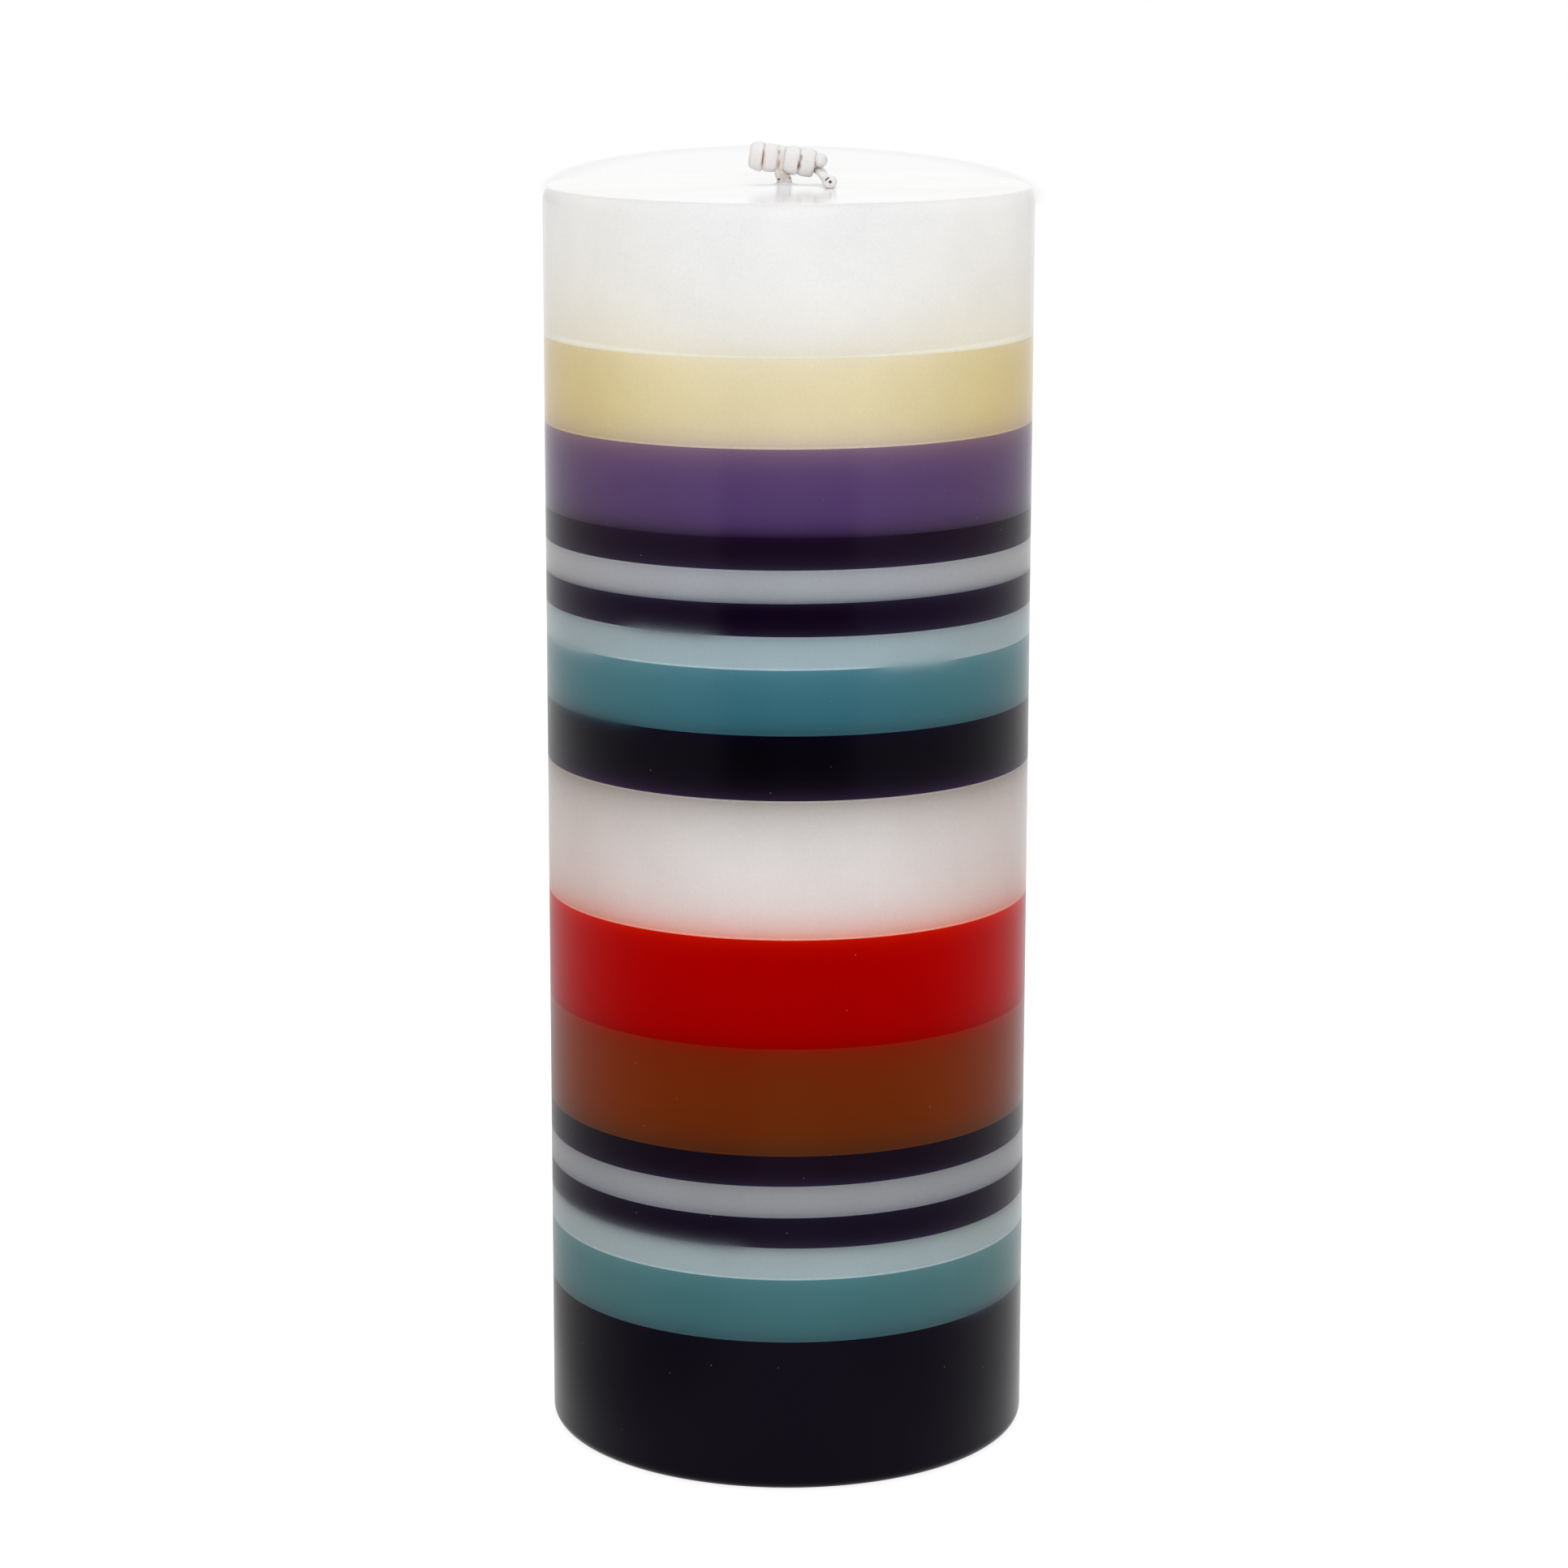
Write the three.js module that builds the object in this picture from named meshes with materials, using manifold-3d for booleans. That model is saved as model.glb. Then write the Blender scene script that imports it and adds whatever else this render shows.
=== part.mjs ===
// Totem candle: a round pillar poured in level layers of dyed wax round one flat braided wick,
// whose free end is wound up round itself on top.
// Millimetres, +Z up, origin at the centre of the base, -Y towards the viewer.

import * as THREE from 'three';
import { mergeVertices } from 'three/addons/utils/BufferGeometryUtils.js';
import Module from 'manifold-3d';

const wasm = await Module();
wasm.setup();

// Wax body: a three inch pillar, with the top edge eased as it shrinks in the mould and a rounded foot
const BODY_RADIUS = 38.1;
const BODY_FACETS = 96;
const RIM_REACH = 1;
const RIM_DROP = 2.5;
const RIM_STEPS = 6;
const FOOT_ROUND = 1.75;
const FOOT_STEPS = 5;

// Pours from the base up. Heights are whole quarters of a millimetre, so faces meet exactly.
const POURS = [
  { name: 'base_layer_black', height: 24.25, color: 0x100d14 },
  { name: 'lower_layer_teal', height: 10, color: 0x38656a },
  { name: 'lower_layer_pale_blue', height: 5.25, color: 0x9ba8ae },
  { name: 'lower_layer_black', height: 5, color: 0x17111d },
  { name: 'lower_layer_grey', height: 5, color: 0x8d8e92 },
  { name: 'lower_layer_upper_black', height: 4.75, color: 0x140d16 },
  { name: 'middle_layer_brown', height: 17, color: 0x6a2809 },
  { name: 'middle_layer_red', height: 17, color: 0xa00201 },
  { name: 'middle_layer_white', height: 21.75, color: 0xd8d2d0 },
  { name: 'upper_layer_lower_black', height: 10, color: 0x07040d },
  { name: 'upper_layer_teal', height: 10, color: 0x306573 },
  { name: 'upper_layer_pale_blue', height: 5, color: 0x98abb2 },
  { name: 'upper_layer_black', height: 5, color: 0x0d0917 },
  { name: 'upper_layer_grey', height: 5, color: 0x989ca5 },
  { name: 'upper_layer_upper_black', height: 5, color: 0x16101e },
  { name: 'top_layer_purple', height: 13, color: 0x513a68 },
  { name: 'top_layer_cream', height: 13.5, color: 0xdfd1a8 },
  { name: 'top_layer_white', height: 22.75, color: 0xeeeef0 },
];
const BODY_HEIGHT = POURS.reduce((sum, pour) => sum + pour.height, 0);

// Flat cotton braid: a six-sided section, wide faces across, and the clearance of its hole.
// It stands a little to the left of the middle.
const WICK_X = -0.7;
const WICK_WIDTH = 1.6;
const WICK_THICKNESS = 0.65;
const WICK_FACE = 0.74;
const WICK_FIT = 0.3;
const BORE_FACETS = 16;

// Sustainer: a tinplate disc with a turned-up lip and a neck crimped on the wick's foot
const TAB_RADIUS = 10;
const TAB_SHEET = 0.3;
const TAB_LIP = 0.6;
const TAB_LIFT = 0.5;
const NECK_HEIGHT = 4;
const NECK_BORE = 1.15;
const NECK_WALL = 0.35;
const NECK_FILLET = 0.5;
const TAB_FIT = 0.3;
const TAB_FACETS = 48;

// Wound end of the wick. It lies on its side above the wax, tipped down to the right.
// Each wrap keeps a small share of its step as drift, and takes the rest over the top.
const COIL_TILT = 6.5;
const COIL_CENTRE_HEIGHT = 3.75;
const WRAP_RADIUS = 1.75;
const WRAP_STEPS = 24;
const WRAP_FRONTS = [-4.55, -2.2, 1.14, 3.6];
const WRAP_LAST_ADVANCE = 2.3;
const WRAP_START = -4.78;
const WRAP_DRIFT = 0.08;
const CORE_HALF_SPACING = 0.565;
const NUB_CENTRE = 5.4;
const NUB_STEPS = 8;
const CORE_STEP = 1.5;
const LEAST_GAP = 0.4;

const bodyCircle = circlePoints(BODY_RADIUS, BODY_RADIUS, BODY_FACETS);
const boreOval = circlePoints(WICK_THICKNESS / 2 + WICK_FIT, WICK_WIDTH / 2 + WICK_FIT, BORE_FACETS)
  .map((point) => point.setX(point.x + WICK_X));
const wickSection = [
  [WICK_WIDTH / 2, 0],
  [WICK_FACE / 2, WICK_THICKNESS / 2],
  [-WICK_FACE / 2, WICK_THICKNESS / 2],
  [-WICK_WIDTH / 2, 0],
  [-WICK_FACE / 2, -WICK_THICKNESS / 2],
  [WICK_FACE / 2, -WICK_THICKNESS / 2],
];

function circlePoints(radiusX, radiusY, count) {
  const points = [];
  for (let i = 0; i < count; i++) {
    const angle = (2 * Math.PI * i) / count;
    points.push(new THREE.Vector2(radiusX * Math.cos(angle), radiusY * Math.sin(angle)));
  }
  return points;
}

function extrude(outline, holes, height) {
  const shape = new THREE.Shape(outline);
  shape.holes = holes.map((hole) => new THREE.Path(hole));
  return new THREE.ExtrudeGeometry(shape, { depth: height, bevelEnabled: false, curveSegments: 1 });
}

// A profile of [radius, height] pairs turned about the Z axis
function turn(profile, facets) {
  const points = profile.map(([radius, height]) => new THREE.Vector2(radius, height));
  const geometry = new THREE.LatheGeometry(points, facets);
  return geometry.rotateX(Math.PI / 2);
}

function toSolid(geometry) {
  const bare = geometry.clone();
  bare.deleteAttribute('normal');
  bare.deleteAttribute('uv');
  const merged = mergeVertices(bare, 1e-4);
  const corners = merged.index.array;
  const triangles = [];
  for (let i = 0; i < corners.length; i += 3) {
    const [a, b, c] = corners.slice(i, i + 3);
    if (a !== b && b !== c && c !== a) {
      triangles.push(a, b, c);
    }
  }
  const mesh = new wasm.Mesh({
    numProp: 3,
    vertProperties: new Float32Array(merged.attributes.position.array),
    triVerts: new Uint32Array(triangles),
  });
  mesh.merge();
  return new wasm.Manifold(mesh);
}

function toGeometry(solid) {
  const mesh = solid.getMesh();
  const geometry = new THREE.BufferGeometry();
  geometry.setAttribute('position', new THREE.BufferAttribute(mesh.vertProperties, 3));
  geometry.setIndex(new THREE.BufferAttribute(mesh.triVerts, 1));
  geometry.computeVertexNormals();
  return geometry;
}

function cut(geometry, tools) {
  let solid = toSolid(geometry);
  for (const tool of tools) {
    solid = solid.subtract(toSolid(tool));
  }
  return toGeometry(solid);
}

function wax(color) {
  return new THREE.MeshStandardMaterial({ color, roughness: 0.3, metalness: 0 });
}

function cotton() {
  return new THREE.MeshStandardMaterial({ color: 0xeeedeb, roughness: 0.8, metalness: 0 });
}

function tinplate() {
  return new THREE.MeshStandardMaterial({ color: 0xb9bcc0, roughness: 0.35, metalness: 1 });
}

function named(name, geometry, material) {
  const mesh = new THREE.Mesh(geometry, material);
  mesh.name = name;
  return mesh;
}

// A level pour: a disc with the wick's oval hole
function pourGeometry(height) {
  return extrude(bodyCircle, [boreOval], height);
}

function boreTool(height) {
  return extrude(boreOval, [], height + 2).translate(0, 0, -1);
}

// The base pour, with a rounded foot, and a shallow recess and a counterbore for the sustainer
function basePourGeometry(height) {
  const profile = [[0, height], [BODY_RADIUS, height]];
  for (let i = 0; i <= FOOT_STEPS; i++) {
    const angle = (Math.PI / 2) * (i / FOOT_STEPS);
    profile.push([
      BODY_RADIUS - FOOT_ROUND + FOOT_ROUND * Math.cos(angle),
      FOOT_ROUND - FOOT_ROUND * Math.sin(angle),
    ]);
  }
  profile.push([0, 0]);
  profile.reverse();
  const recessRadius = TAB_RADIUS + TAB_FIT;
  const recessDepth = TAB_LIFT + TAB_LIP + TAB_FIT;
  const counterboreRadius = NECK_BORE + NECK_WALL + NECK_FILLET + TAB_FIT;
  const counterboreDepth = TAB_LIFT + NECK_HEIGHT + TAB_FIT;
  const tool = turn([
    [0, -1],
    [recessRadius, -1],
    [recessRadius, recessDepth],
    [counterboreRadius, recessDepth],
    [counterboreRadius, counterboreDepth],
    [0, counterboreDepth],
  ], TAB_FACETS).translate(WICK_X, 0, 0);
  return cut(turn(profile, BODY_FACETS), [tool, boreTool(height)]);
}

// The top pour: its upper edge is a quarter of an ellipse, taller than it is deep
function topPourGeometry(height) {
  const profile = [[0, 0], [BODY_RADIUS, 0]];
  for (let i = 0; i <= RIM_STEPS; i++) {
    const angle = (Math.PI / 2) * (i / RIM_STEPS);
    profile.push([
      BODY_RADIUS - RIM_REACH + RIM_REACH * Math.cos(angle),
      height - RIM_DROP + RIM_DROP * Math.sin(angle),
    ]);
  }
  profile.push([0, height]);
  return cut(turn(profile, BODY_FACETS), [boreTool(height)]);
}

function sustainerGeometry() {
  const neckRadius = NECK_BORE + NECK_WALL;
  const lipRadius = TAB_RADIUS - TAB_SHEET;
  return turn([
    [NECK_BORE, 0],
    [TAB_RADIUS, 0],
    [TAB_RADIUS, TAB_LIP],
    [lipRadius, TAB_LIP],
    [lipRadius, TAB_SHEET],
    [neckRadius + NECK_FILLET, TAB_SHEET],
    [neckRadius, TAB_SHEET + NECK_FILLET],
    [neckRadius, NECK_HEIGHT],
    [NECK_BORE, NECK_HEIGHT],
    [NECK_BORE, 0],
  ], TAB_FACETS);
}

// The stretch cast in the wax: wide faces to the left and right, as the stem above it
function wickGeometry() {
  const outline = wickSection.map(([across, out]) => new THREE.Vector2(out, -across));
  return extrude(outline, [], BODY_HEIGHT - TAB_LIFT - WICK_FIT).translate(WICK_X, 0, TAB_LIFT);
}

// Route of the wound end, as stations: a point and the way the braid's outer face looks.
// Coil coordinates have X along the coil, and their origin on its axis above the wick's hole.
function coilRoute() {
  const tilt = new THREE.Matrix4().makeRotationY(THREE.MathUtils.degToRad(COIL_TILT));
  const place = tilt.clone().setPosition(0, 0, COIL_CENTRE_HEIGHT);
  const stations = [];

  function addInCoil(at, out) {
    stations.push({ at: at.applyMatrix4(place), out: out.transformDirection(tilt) });
  }

  // Hand-placed bend: rows of a point and its facing, [x, y, z, facingX, facingY, facingZ]
  function addBend(rows, steps, add) {
    const points = rows.map(([x, y, z]) => new THREE.Vector3(x, y, z));
    const facings = rows.map((row) => new THREE.Vector3(...row.slice(3)));
    const line = new THREE.CatmullRomCurve3(points, false, 'centripetal');
    const turnOver = new THREE.CatmullRomCurve3(facings, false, 'centripetal');
    for (let i = 0; i <= steps; i++) {
      add(line.getPoint(i / steps), turnOver.getPoint(i / steps).normalize());
    }
  }

  // Stem: straight out of the wax, then leaning left into the gap between two wraps
  addBend([
    [0, 0, 0, 1, 0, 0],
    [0, 0, 0.33, 1, 0, 0],
    [0, 0, WICK_THICKNESS, 1, 0, 0.1],
    [-0.46, 0, 1.2, 1, 0, 0.6],
    [-0.88, 0, 1.7, 1, 0, 0.5],
    [-0.87, 0, 2.2, 1, 0, -0.15],
  ], 14, (at, out) => stations.push({ at, out }));

  // Lower core strand, the nub where it doubles back, and the upper core strand
  addBend([
    [-0.45, 0, -0.87, 0.8, 0, -0.75],
    [-0.1, 0, -0.66, 0.35, 0, -0.95],
    [0.4, 0, -CORE_HALF_SPACING, 0, 0, -1],
    [1.2, 0, -CORE_HALF_SPACING, 0, 0, -1],
  ], 6, addInCoil);
  for (let x = 1.2 + CORE_STEP; x < NUB_CENTRE; x += CORE_STEP) {
    addInCoil(new THREE.Vector3(x, 0, -CORE_HALF_SPACING), new THREE.Vector3(0, 0, -1));
  }
  for (let i = 0; i <= NUB_STEPS; i++) {
    const angle = (Math.PI * i) / NUB_STEPS;
    const out = new THREE.Vector3(Math.sin(angle), 0, -Math.cos(angle));
    const at = out.clone().multiplyScalar(CORE_HALF_SPACING);
    addInCoil(at.add(new THREE.Vector3(NUB_CENTRE, 0, 0)), out);
  }
  for (let x = NUB_CENTRE - CORE_STEP; x > -3; x -= CORE_STEP) {
    addInCoil(new THREE.Vector3(x, 0, CORE_HALF_SPACING), new THREE.Vector3(0, 0, 1));
  }

  // Left end: it turns away from the viewer and over the back of the coil
  addBend([
    [-3.2, 0, CORE_HALF_SPACING, 0, 0, 1],
    [-3.9, 0.05, CORE_HALF_SPACING, 0, 0, 1],
    [-4.5, 0.45, 0.62, 0, 0.1, 1],
    [WRAP_START, 1.1, 0.86, 0, 0.5, 0.9],
    [WRAP_START, 1.6, 0.7, 0, 0.92, 0.4],
    [WRAP_START, WRAP_RADIUS, 0, 0, 1, 0],
  ], 12, addInCoil);

  // Wraps: angle 0 is under the coil, 90 degrees in front, 180 on top and 270 behind
  const lastAngle = 360 * WRAP_FRONTS.length + 360;
  for (let angle = 270 + 360 / WRAP_STEPS; angle <= lastAngle; angle += 360 / WRAP_STEPS) {
    const radians = THREE.MathUtils.degToRad(angle);
    const out = new THREE.Vector3(0, -Math.sin(radians), -Math.cos(radians));
    const at = out.clone().multiplyScalar(WRAP_RADIUS);
    at.x = wrapPosition(angle);
    addInCoil(at, out);
  }

  // Tail: it leaves the underside towards the viewer and comes down on the wax
  const under = stations.at(-1).at;
  addBend([
    [under.x, under.y, under.z, 0, 0, -1],
    [under.x + 0.2, under.y - 0.9, under.z - 0.06, 0, 0, -1],
    [6.1, -4.2, 1, 0, 0, -1],
    [6.8, -6.4, 0.65, 0, 0, -1],
    [7.1, -7.6, 0.6, 0, 0, -1],
  ], 12, (at, out) => stations.push({ at, out }));
  return stations.filter((station, i) => i === 0 || station.at.distanceTo(stations[i - 1].at) > 0.05);
}

// Each wrap stands nearly square to the coil and steps to the next one over the top
function wrapPosition(angle) {
  const turns = (angle - 450) / 360;
  if (turns < 0) {
    const share = THREE.MathUtils.smoothstep(turns, -0.5, 0);
    return THREE.MathUtils.lerp(WRAP_START, WRAP_FRONTS[0], share);
  }
  const wrap = Math.floor(turns);
  const next = WRAP_FRONTS[wrap + 1] ?? WRAP_FRONTS[wrap] + WRAP_LAST_ADVANCE;
  const share = turns - wrap;
  const overTop = THREE.MathUtils.smoothstep(share, 0, 0.5);
  return THREE.MathUtils.lerp(WRAP_FRONTS[wrap], next, THREE.MathUtils.lerp(share, overTop, 1 - WRAP_DRIFT));
}

// The section's corners at each station, square to the route
function sectionRings(stations) {
  return stations.map(({ at, out }, i) => {
    const before = stations[Math.max(i - 1, 0)].at;
    const after = stations[Math.min(i + 1, stations.length - 1)].at;
    const along = after.clone().sub(before).normalize();
    const wide = new THREE.Vector3().crossVectors(out, along).normalize();
    const face = new THREE.Vector3().crossVectors(along, wide);
    return wickSection.map(([across, up]) => (
      at.clone().addScaledVector(wide, across).addScaledVector(face, up)
    ));
  });
}

function tubeGeometry(rings) {
  const sides = wickSection.length;
  const last = (rings.length - 1) * sides;
  const positions = rings.flat().flatMap((corner) => corner.toArray());
  const index = [];
  for (let ring = 0; ring < last; ring += sides) {
    for (let side = 0; side < sides; side++) {
      const a = ring + side;
      const b = ring + ((side + 1) % sides);
      index.push(a, b, b + sides, a, b + sides, a + sides);
    }
  }
  for (let side = 1; side < sides - 1; side++) {
    index.push(0, side + 1, side, last, last + side, last + side + 1);
  }
  const geometry = new THREE.BufferGeometry();
  geometry.setAttribute('position', new THREE.Float32BufferAttribute(positions, 3));
  geometry.setIndex(index);
  geometry.computeVertexNormals();
  return geometry;
}

// Least distance between points of the tube's surface that are apart along its length
function gapToItself(stations, rings) {
  const pointsPerEdge = 3;
  const ringsPerStep = 3;
  const apart = 4 * WICK_THICKNESS;
  const points = [];
  let travelled = 0;
  for (let i = 0; i + 1 < rings.length; i++) {
    const step = stations[i].at.distanceTo(stations[i + 1].at);
    for (let j = 0; j < ringsPerStep; j++) {
      const ring = rings[i].map((corner, side) => corner.clone().lerp(rings[i + 1][side], j / ringsPerStep));
      ring.forEach((corner, side) => {
        const next = ring[(side + 1) % ring.length];
        for (let k = 0; k < pointsPerEdge; k++) {
          const at = corner.clone().lerp(next, k / pointsPerEdge);
          points.push({ at, travelled: travelled + (step * j) / ringsPerStep });
        }
      });
    }
    travelled += step;
  }
  let least = Infinity;
  for (let i = 0; i < points.length; i++) {
    for (let j = i + 1; j < points.length; j++) {
      if (points[j].travelled - points[i].travelled > apart) {
        least = Math.min(least, points[i].at.distanceToSquared(points[j].at));
      }
    }
  }
  return { least: Math.sqrt(least), length: travelled };
}

function coilGeometry() {
  const stations = coilRoute();
  const rings = sectionRings(stations);
  const { least, length } = gapToItself(stations, rings);
  console.log(`wick_coil: ${length.toFixed(1)} mm long, least gap to itself ${least.toFixed(2)} mm`);
  if (least <= LEAST_GAP) {
    throw new Error(`wick_coil comes within ${least.toFixed(2)} mm of itself`);
  }
  return tubeGeometry(rings).translate(WICK_X, 0, BODY_HEIGHT);
}

const candle = new THREE.Group();
let level = 0;
for (const pour of POURS) {
  let geometry;
  if (pour === POURS[0]) {
    geometry = basePourGeometry(pour.height);
  } else if (pour === POURS.at(-1)) {
    geometry = topPourGeometry(pour.height);
  } else {
    geometry = pourGeometry(pour.height);
  }
  const layer = named(pour.name, geometry, wax(pour.color));
  layer.position.z = level;
  candle.add(layer);
  level += pour.height;
}

const wick = named('wick', wickGeometry(), cotton());
const wickCoil = named('wick_coil', coilGeometry(), cotton());
const sustainer = named('wick_sustainer', sustainerGeometry(), tinplate());
sustainer.position.set(WICK_X, 0, TAB_LIFT);
candle.add(wick, wickCoil, sustainer);

export default candle;
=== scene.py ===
import math

import bpy
from mathutils import Matrix, Vector


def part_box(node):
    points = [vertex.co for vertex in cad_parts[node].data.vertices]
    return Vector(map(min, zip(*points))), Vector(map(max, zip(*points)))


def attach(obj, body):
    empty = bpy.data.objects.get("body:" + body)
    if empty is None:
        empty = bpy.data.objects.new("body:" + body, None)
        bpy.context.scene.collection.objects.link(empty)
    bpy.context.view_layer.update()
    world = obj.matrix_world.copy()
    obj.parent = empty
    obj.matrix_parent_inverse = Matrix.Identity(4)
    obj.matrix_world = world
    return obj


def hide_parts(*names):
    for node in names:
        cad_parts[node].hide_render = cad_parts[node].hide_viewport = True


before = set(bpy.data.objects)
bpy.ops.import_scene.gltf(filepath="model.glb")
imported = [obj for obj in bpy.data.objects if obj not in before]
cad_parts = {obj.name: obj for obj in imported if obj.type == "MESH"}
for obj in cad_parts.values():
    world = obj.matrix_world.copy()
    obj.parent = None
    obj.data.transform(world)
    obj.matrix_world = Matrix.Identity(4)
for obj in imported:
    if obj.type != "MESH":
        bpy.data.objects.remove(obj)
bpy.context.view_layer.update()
millimetre = 0.001

for name in ("Cube", "Light", "Camera"):  # what a new file starts with
    if name in bpy.data.objects:
        bpy.data.objects.remove(bpy.data.objects[name])


def paint(red, green, blue):  # a colour as a painter's program shows it, 0 to 255
    steps = [value / 255 for value in (red, green, blue)]
    return [((step + 0.055) / 1.055) ** 2.4 if step > 0.04 else step / 12.92 for step in steps] + [1]


# camera

photoCamera = {
    "distance": 0.6740, "height": 0.24895,
    "pitch": 12.10, "yaw": -0.0525, "roll": 0.082,  # degrees
    "focalPixels": 5333, "imagePixels": 1932, "sensor": 36,
}


def makeCamera():
    data = bpy.data.cameras.new("photo_camera")
    data.sensor_width = photoCamera["sensor"]
    data.lens = photoCamera["focalPixels"] / photoCamera["imagePixels"] * photoCamera["sensor"]
    camera = bpy.data.objects.new("photo_camera", data)
    camera.location = (0, -photoCamera["distance"], photoCamera["height"])
    turn = Matrix.Rotation(math.radians(-photoCamera["yaw"]), 3, "Z")
    lean = Matrix.Rotation(math.radians(90 - photoCamera["pitch"]), 3, "X")
    roll = Matrix.Rotation(math.radians(photoCamera["roll"]), 3, "Z")
    camera.rotation_euler = (turn @ lean @ roll).to_euler()
    bpy.context.scene.collection.objects.link(camera)
    bpy.context.scene.camera = camera


makeCamera()
print("camera placed")


# nodes

class Signal:  # a socket that takes part in sums
    def __init__(self, graph, socket):
        self.graph = graph
        self.socket = socket

    def __getitem__(self, name):  # another output of the same node
        return Signal(self.graph, self.socket.node.outputs[name])

    def __add__(self, other):
        return self.graph.sum("ADD", self, other)

    def __radd__(self, other):
        return self.graph.sum("ADD", other, self)

    def __sub__(self, other):
        return self.graph.sum("SUBTRACT", self, other)

    def __rsub__(self, other):
        return self.graph.sum("SUBTRACT", other, self)

    def __mul__(self, other):
        return self.graph.sum("MULTIPLY", self, other)

    def __rmul__(self, other):
        return self.graph.sum("MULTIPLY", other, self)

    def __truediv__(self, other):
        return self.graph.sum("DIVIDE", self, other)

    def __rtruediv__(self, other):
        return self.graph.sum("DIVIDE", other, self)

    def __gt__(self, other):
        return self.graph.sum("GREATER_THAN", self, other)


class Graph:  # the nodes of one material or one shape
    def __init__(self, tree):
        self.tree = tree

    def add(self, kind, settings, sockets, output=0):
        node = self.tree.nodes.new(kind)
        for name, value in settings.items():
            setattr(node, name, value)
        for name, value in sockets.items():
            if isinstance(value, Signal):
                self.tree.links.new(value.socket, node.inputs[name])
            else:
                node.inputs[name].default_value = value
        return Signal(self, node.outputs[output]) if node.outputs else None

    def sum(self, operation, *values):
        return self.add("ShaderNodeMath", {"operation": operation}, dict(enumerate(values)))

    def vector(self, operation, *values, output=0):
        return self.add("ShaderNodeVectorMath", {"operation": operation}, dict(enumerate(values)), output)

    def scale(self, vector, factor):
        return self.add("ShaderNodeVectorMath", {"operation": "SCALE"}, {"Vector": vector, "Scale": factor})

    def ease(self, value, start, end):  # 0 before start, 1 after end
        sockets = {"Value": value, "From Min": start, "From Max": end}
        return self.add("ShaderNodeMapRange", {"interpolation_type": "SMOOTHSTEP"}, sockets)

    def between(self, value, start, end, soft):  # 1 from start to end, with soft ends
        return self.ease(value, start - soft, start + soft) * (1 - self.ease(value, end - soft, end + soft))

    def fade(self, distance, reach):  # 1 at no distance, falling off with it
        return self.sum("EXPONENT", distance * (-1 / reach))

    def wave(self, angle):  # a sine wave with its lower half turned up
        return self.sum("ABSOLUTE", self.sum("SINE", angle))

    def place(self):  # on the piece, in millimetres
        where = self.add("ShaderNodeTexCoord", {}, {})["Object"]
        return self.scale(where, 1 / millimetre)

    def split(self, vector):
        parts = self.add("ShaderNodeSeparateXYZ", {}, {"Vector": vector})
        return parts, parts["Y"], parts["Z"]

    def mix(self, factor, first, second):  # of colours
        settings = {"data_type": "RGBA", "clamp_factor": True}
        return self.add("ShaderNodeMix", settings, {0: factor, 6: first, 7: second}, 2)

    def noise(self, vector, scale, detail=2, roughness=0.5):
        sockets = {"Vector": vector, "Scale": scale, "Detail": detail, "Roughness": roughness}
        return self.add("ShaderNodeTexNoise", {}, sockets)

    def specks(self, vector, spacing, size, share):  # small round dots, in some of the cells only
        cells = self.add("ShaderNodeTexVoronoi", {}, {"Vector": vector, "Scale": 1 / spacing})
        picked = self.split(cells["Color"])[0] > 1 - share
        return (1 - self.ease(cells["Distance"], size / spacing * 0.6, size / spacing)) * picked

    def bump(self, height, strength, distance):  # the distance in metres
        return self.add("ShaderNodeBump", {}, {"Strength": strength, "Distance": distance, "Height": height})


def newMaterial(name):
    material = bpy.data.materials.new(name)
    material.use_nodes = True
    material.node_tree.nodes.clear()
    return material, Graph(material.node_tree)


def finishMaterial(graph, sockets):
    shader = graph.add("ShaderNodeBsdfPrincipled", {}, sockets)
    graph.add("ShaderNodeOutputMaterial", {}, {"Surface": shader})


def newShape(name, inputs):  # a geometry tree with named inputs
    tree = bpy.data.node_groups.new(name, "GeometryNodeTree")
    tree.interface.new_socket("Geometry", in_out="INPUT", socket_type="NodeSocketGeometry")
    for label, kind in inputs.items():
        tree.interface.new_socket(label, in_out="INPUT", socket_type="NodeSocket" + kind)
    tree.interface.new_socket("Geometry", in_out="OUTPUT", socket_type="NodeSocketGeometry")
    graph = Graph(tree)
    return tree, graph, graph.add("NodeGroupInput", {}, {})


def finishShape(graph, geometry, material):
    geometry = graph.add("GeometryNodeRealizeInstances", {}, {"Geometry": geometry})
    geometry = graph.add("GeometryNodeSetMaterial", {}, {"Geometry": geometry, "Material": material})
    graph.add("NodeGroupOutput", {}, {"Geometry": geometry})


def growPiece(name, mesh, tree, values):  # runs a shape's tree on a mesh and keeps the result
    seed = bpy.data.objects.new(name + "_seed", mesh)
    bpy.context.scene.collection.objects.link(seed)
    modifier = seed.modifiers.new("shape", "NODES")
    modifier.node_group = tree
    for item in tree.interface.items_tree:
        if item.item_type == "SOCKET" and item.in_out == "INPUT" and item.name in values:
            modifier[item.identifier] = values[item.name]
    grown = seed.evaluated_get(bpy.context.evaluated_depsgraph_get())
    result = bpy.data.meshes.new_from_object(grown)
    result.name = name
    seed.modifiers.clear()
    bpy.data.objects.remove(seed)
    piece = bpy.data.objects.new(name, result)
    bpy.context.scene.collection.objects.link(piece)
    return piece


def gridOf(graph, columns, rows):  # a column for each step round and a row for each point along
    sockets = {"Size X": 1, "Size Y": 1, "Vertices X": columns, "Vertices Y": rows}
    return graph.add("GeometryNodeMeshGrid", {}, sockets)


def gridPlaces(graph, rows):  # the column and the row of each point of such a grid
    index = graph.add("GeometryNodeInputIndex", {}, {})
    column = graph.sum("FLOOR", (index + 0.5) / rows)
    return column, index - column * rows


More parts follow.
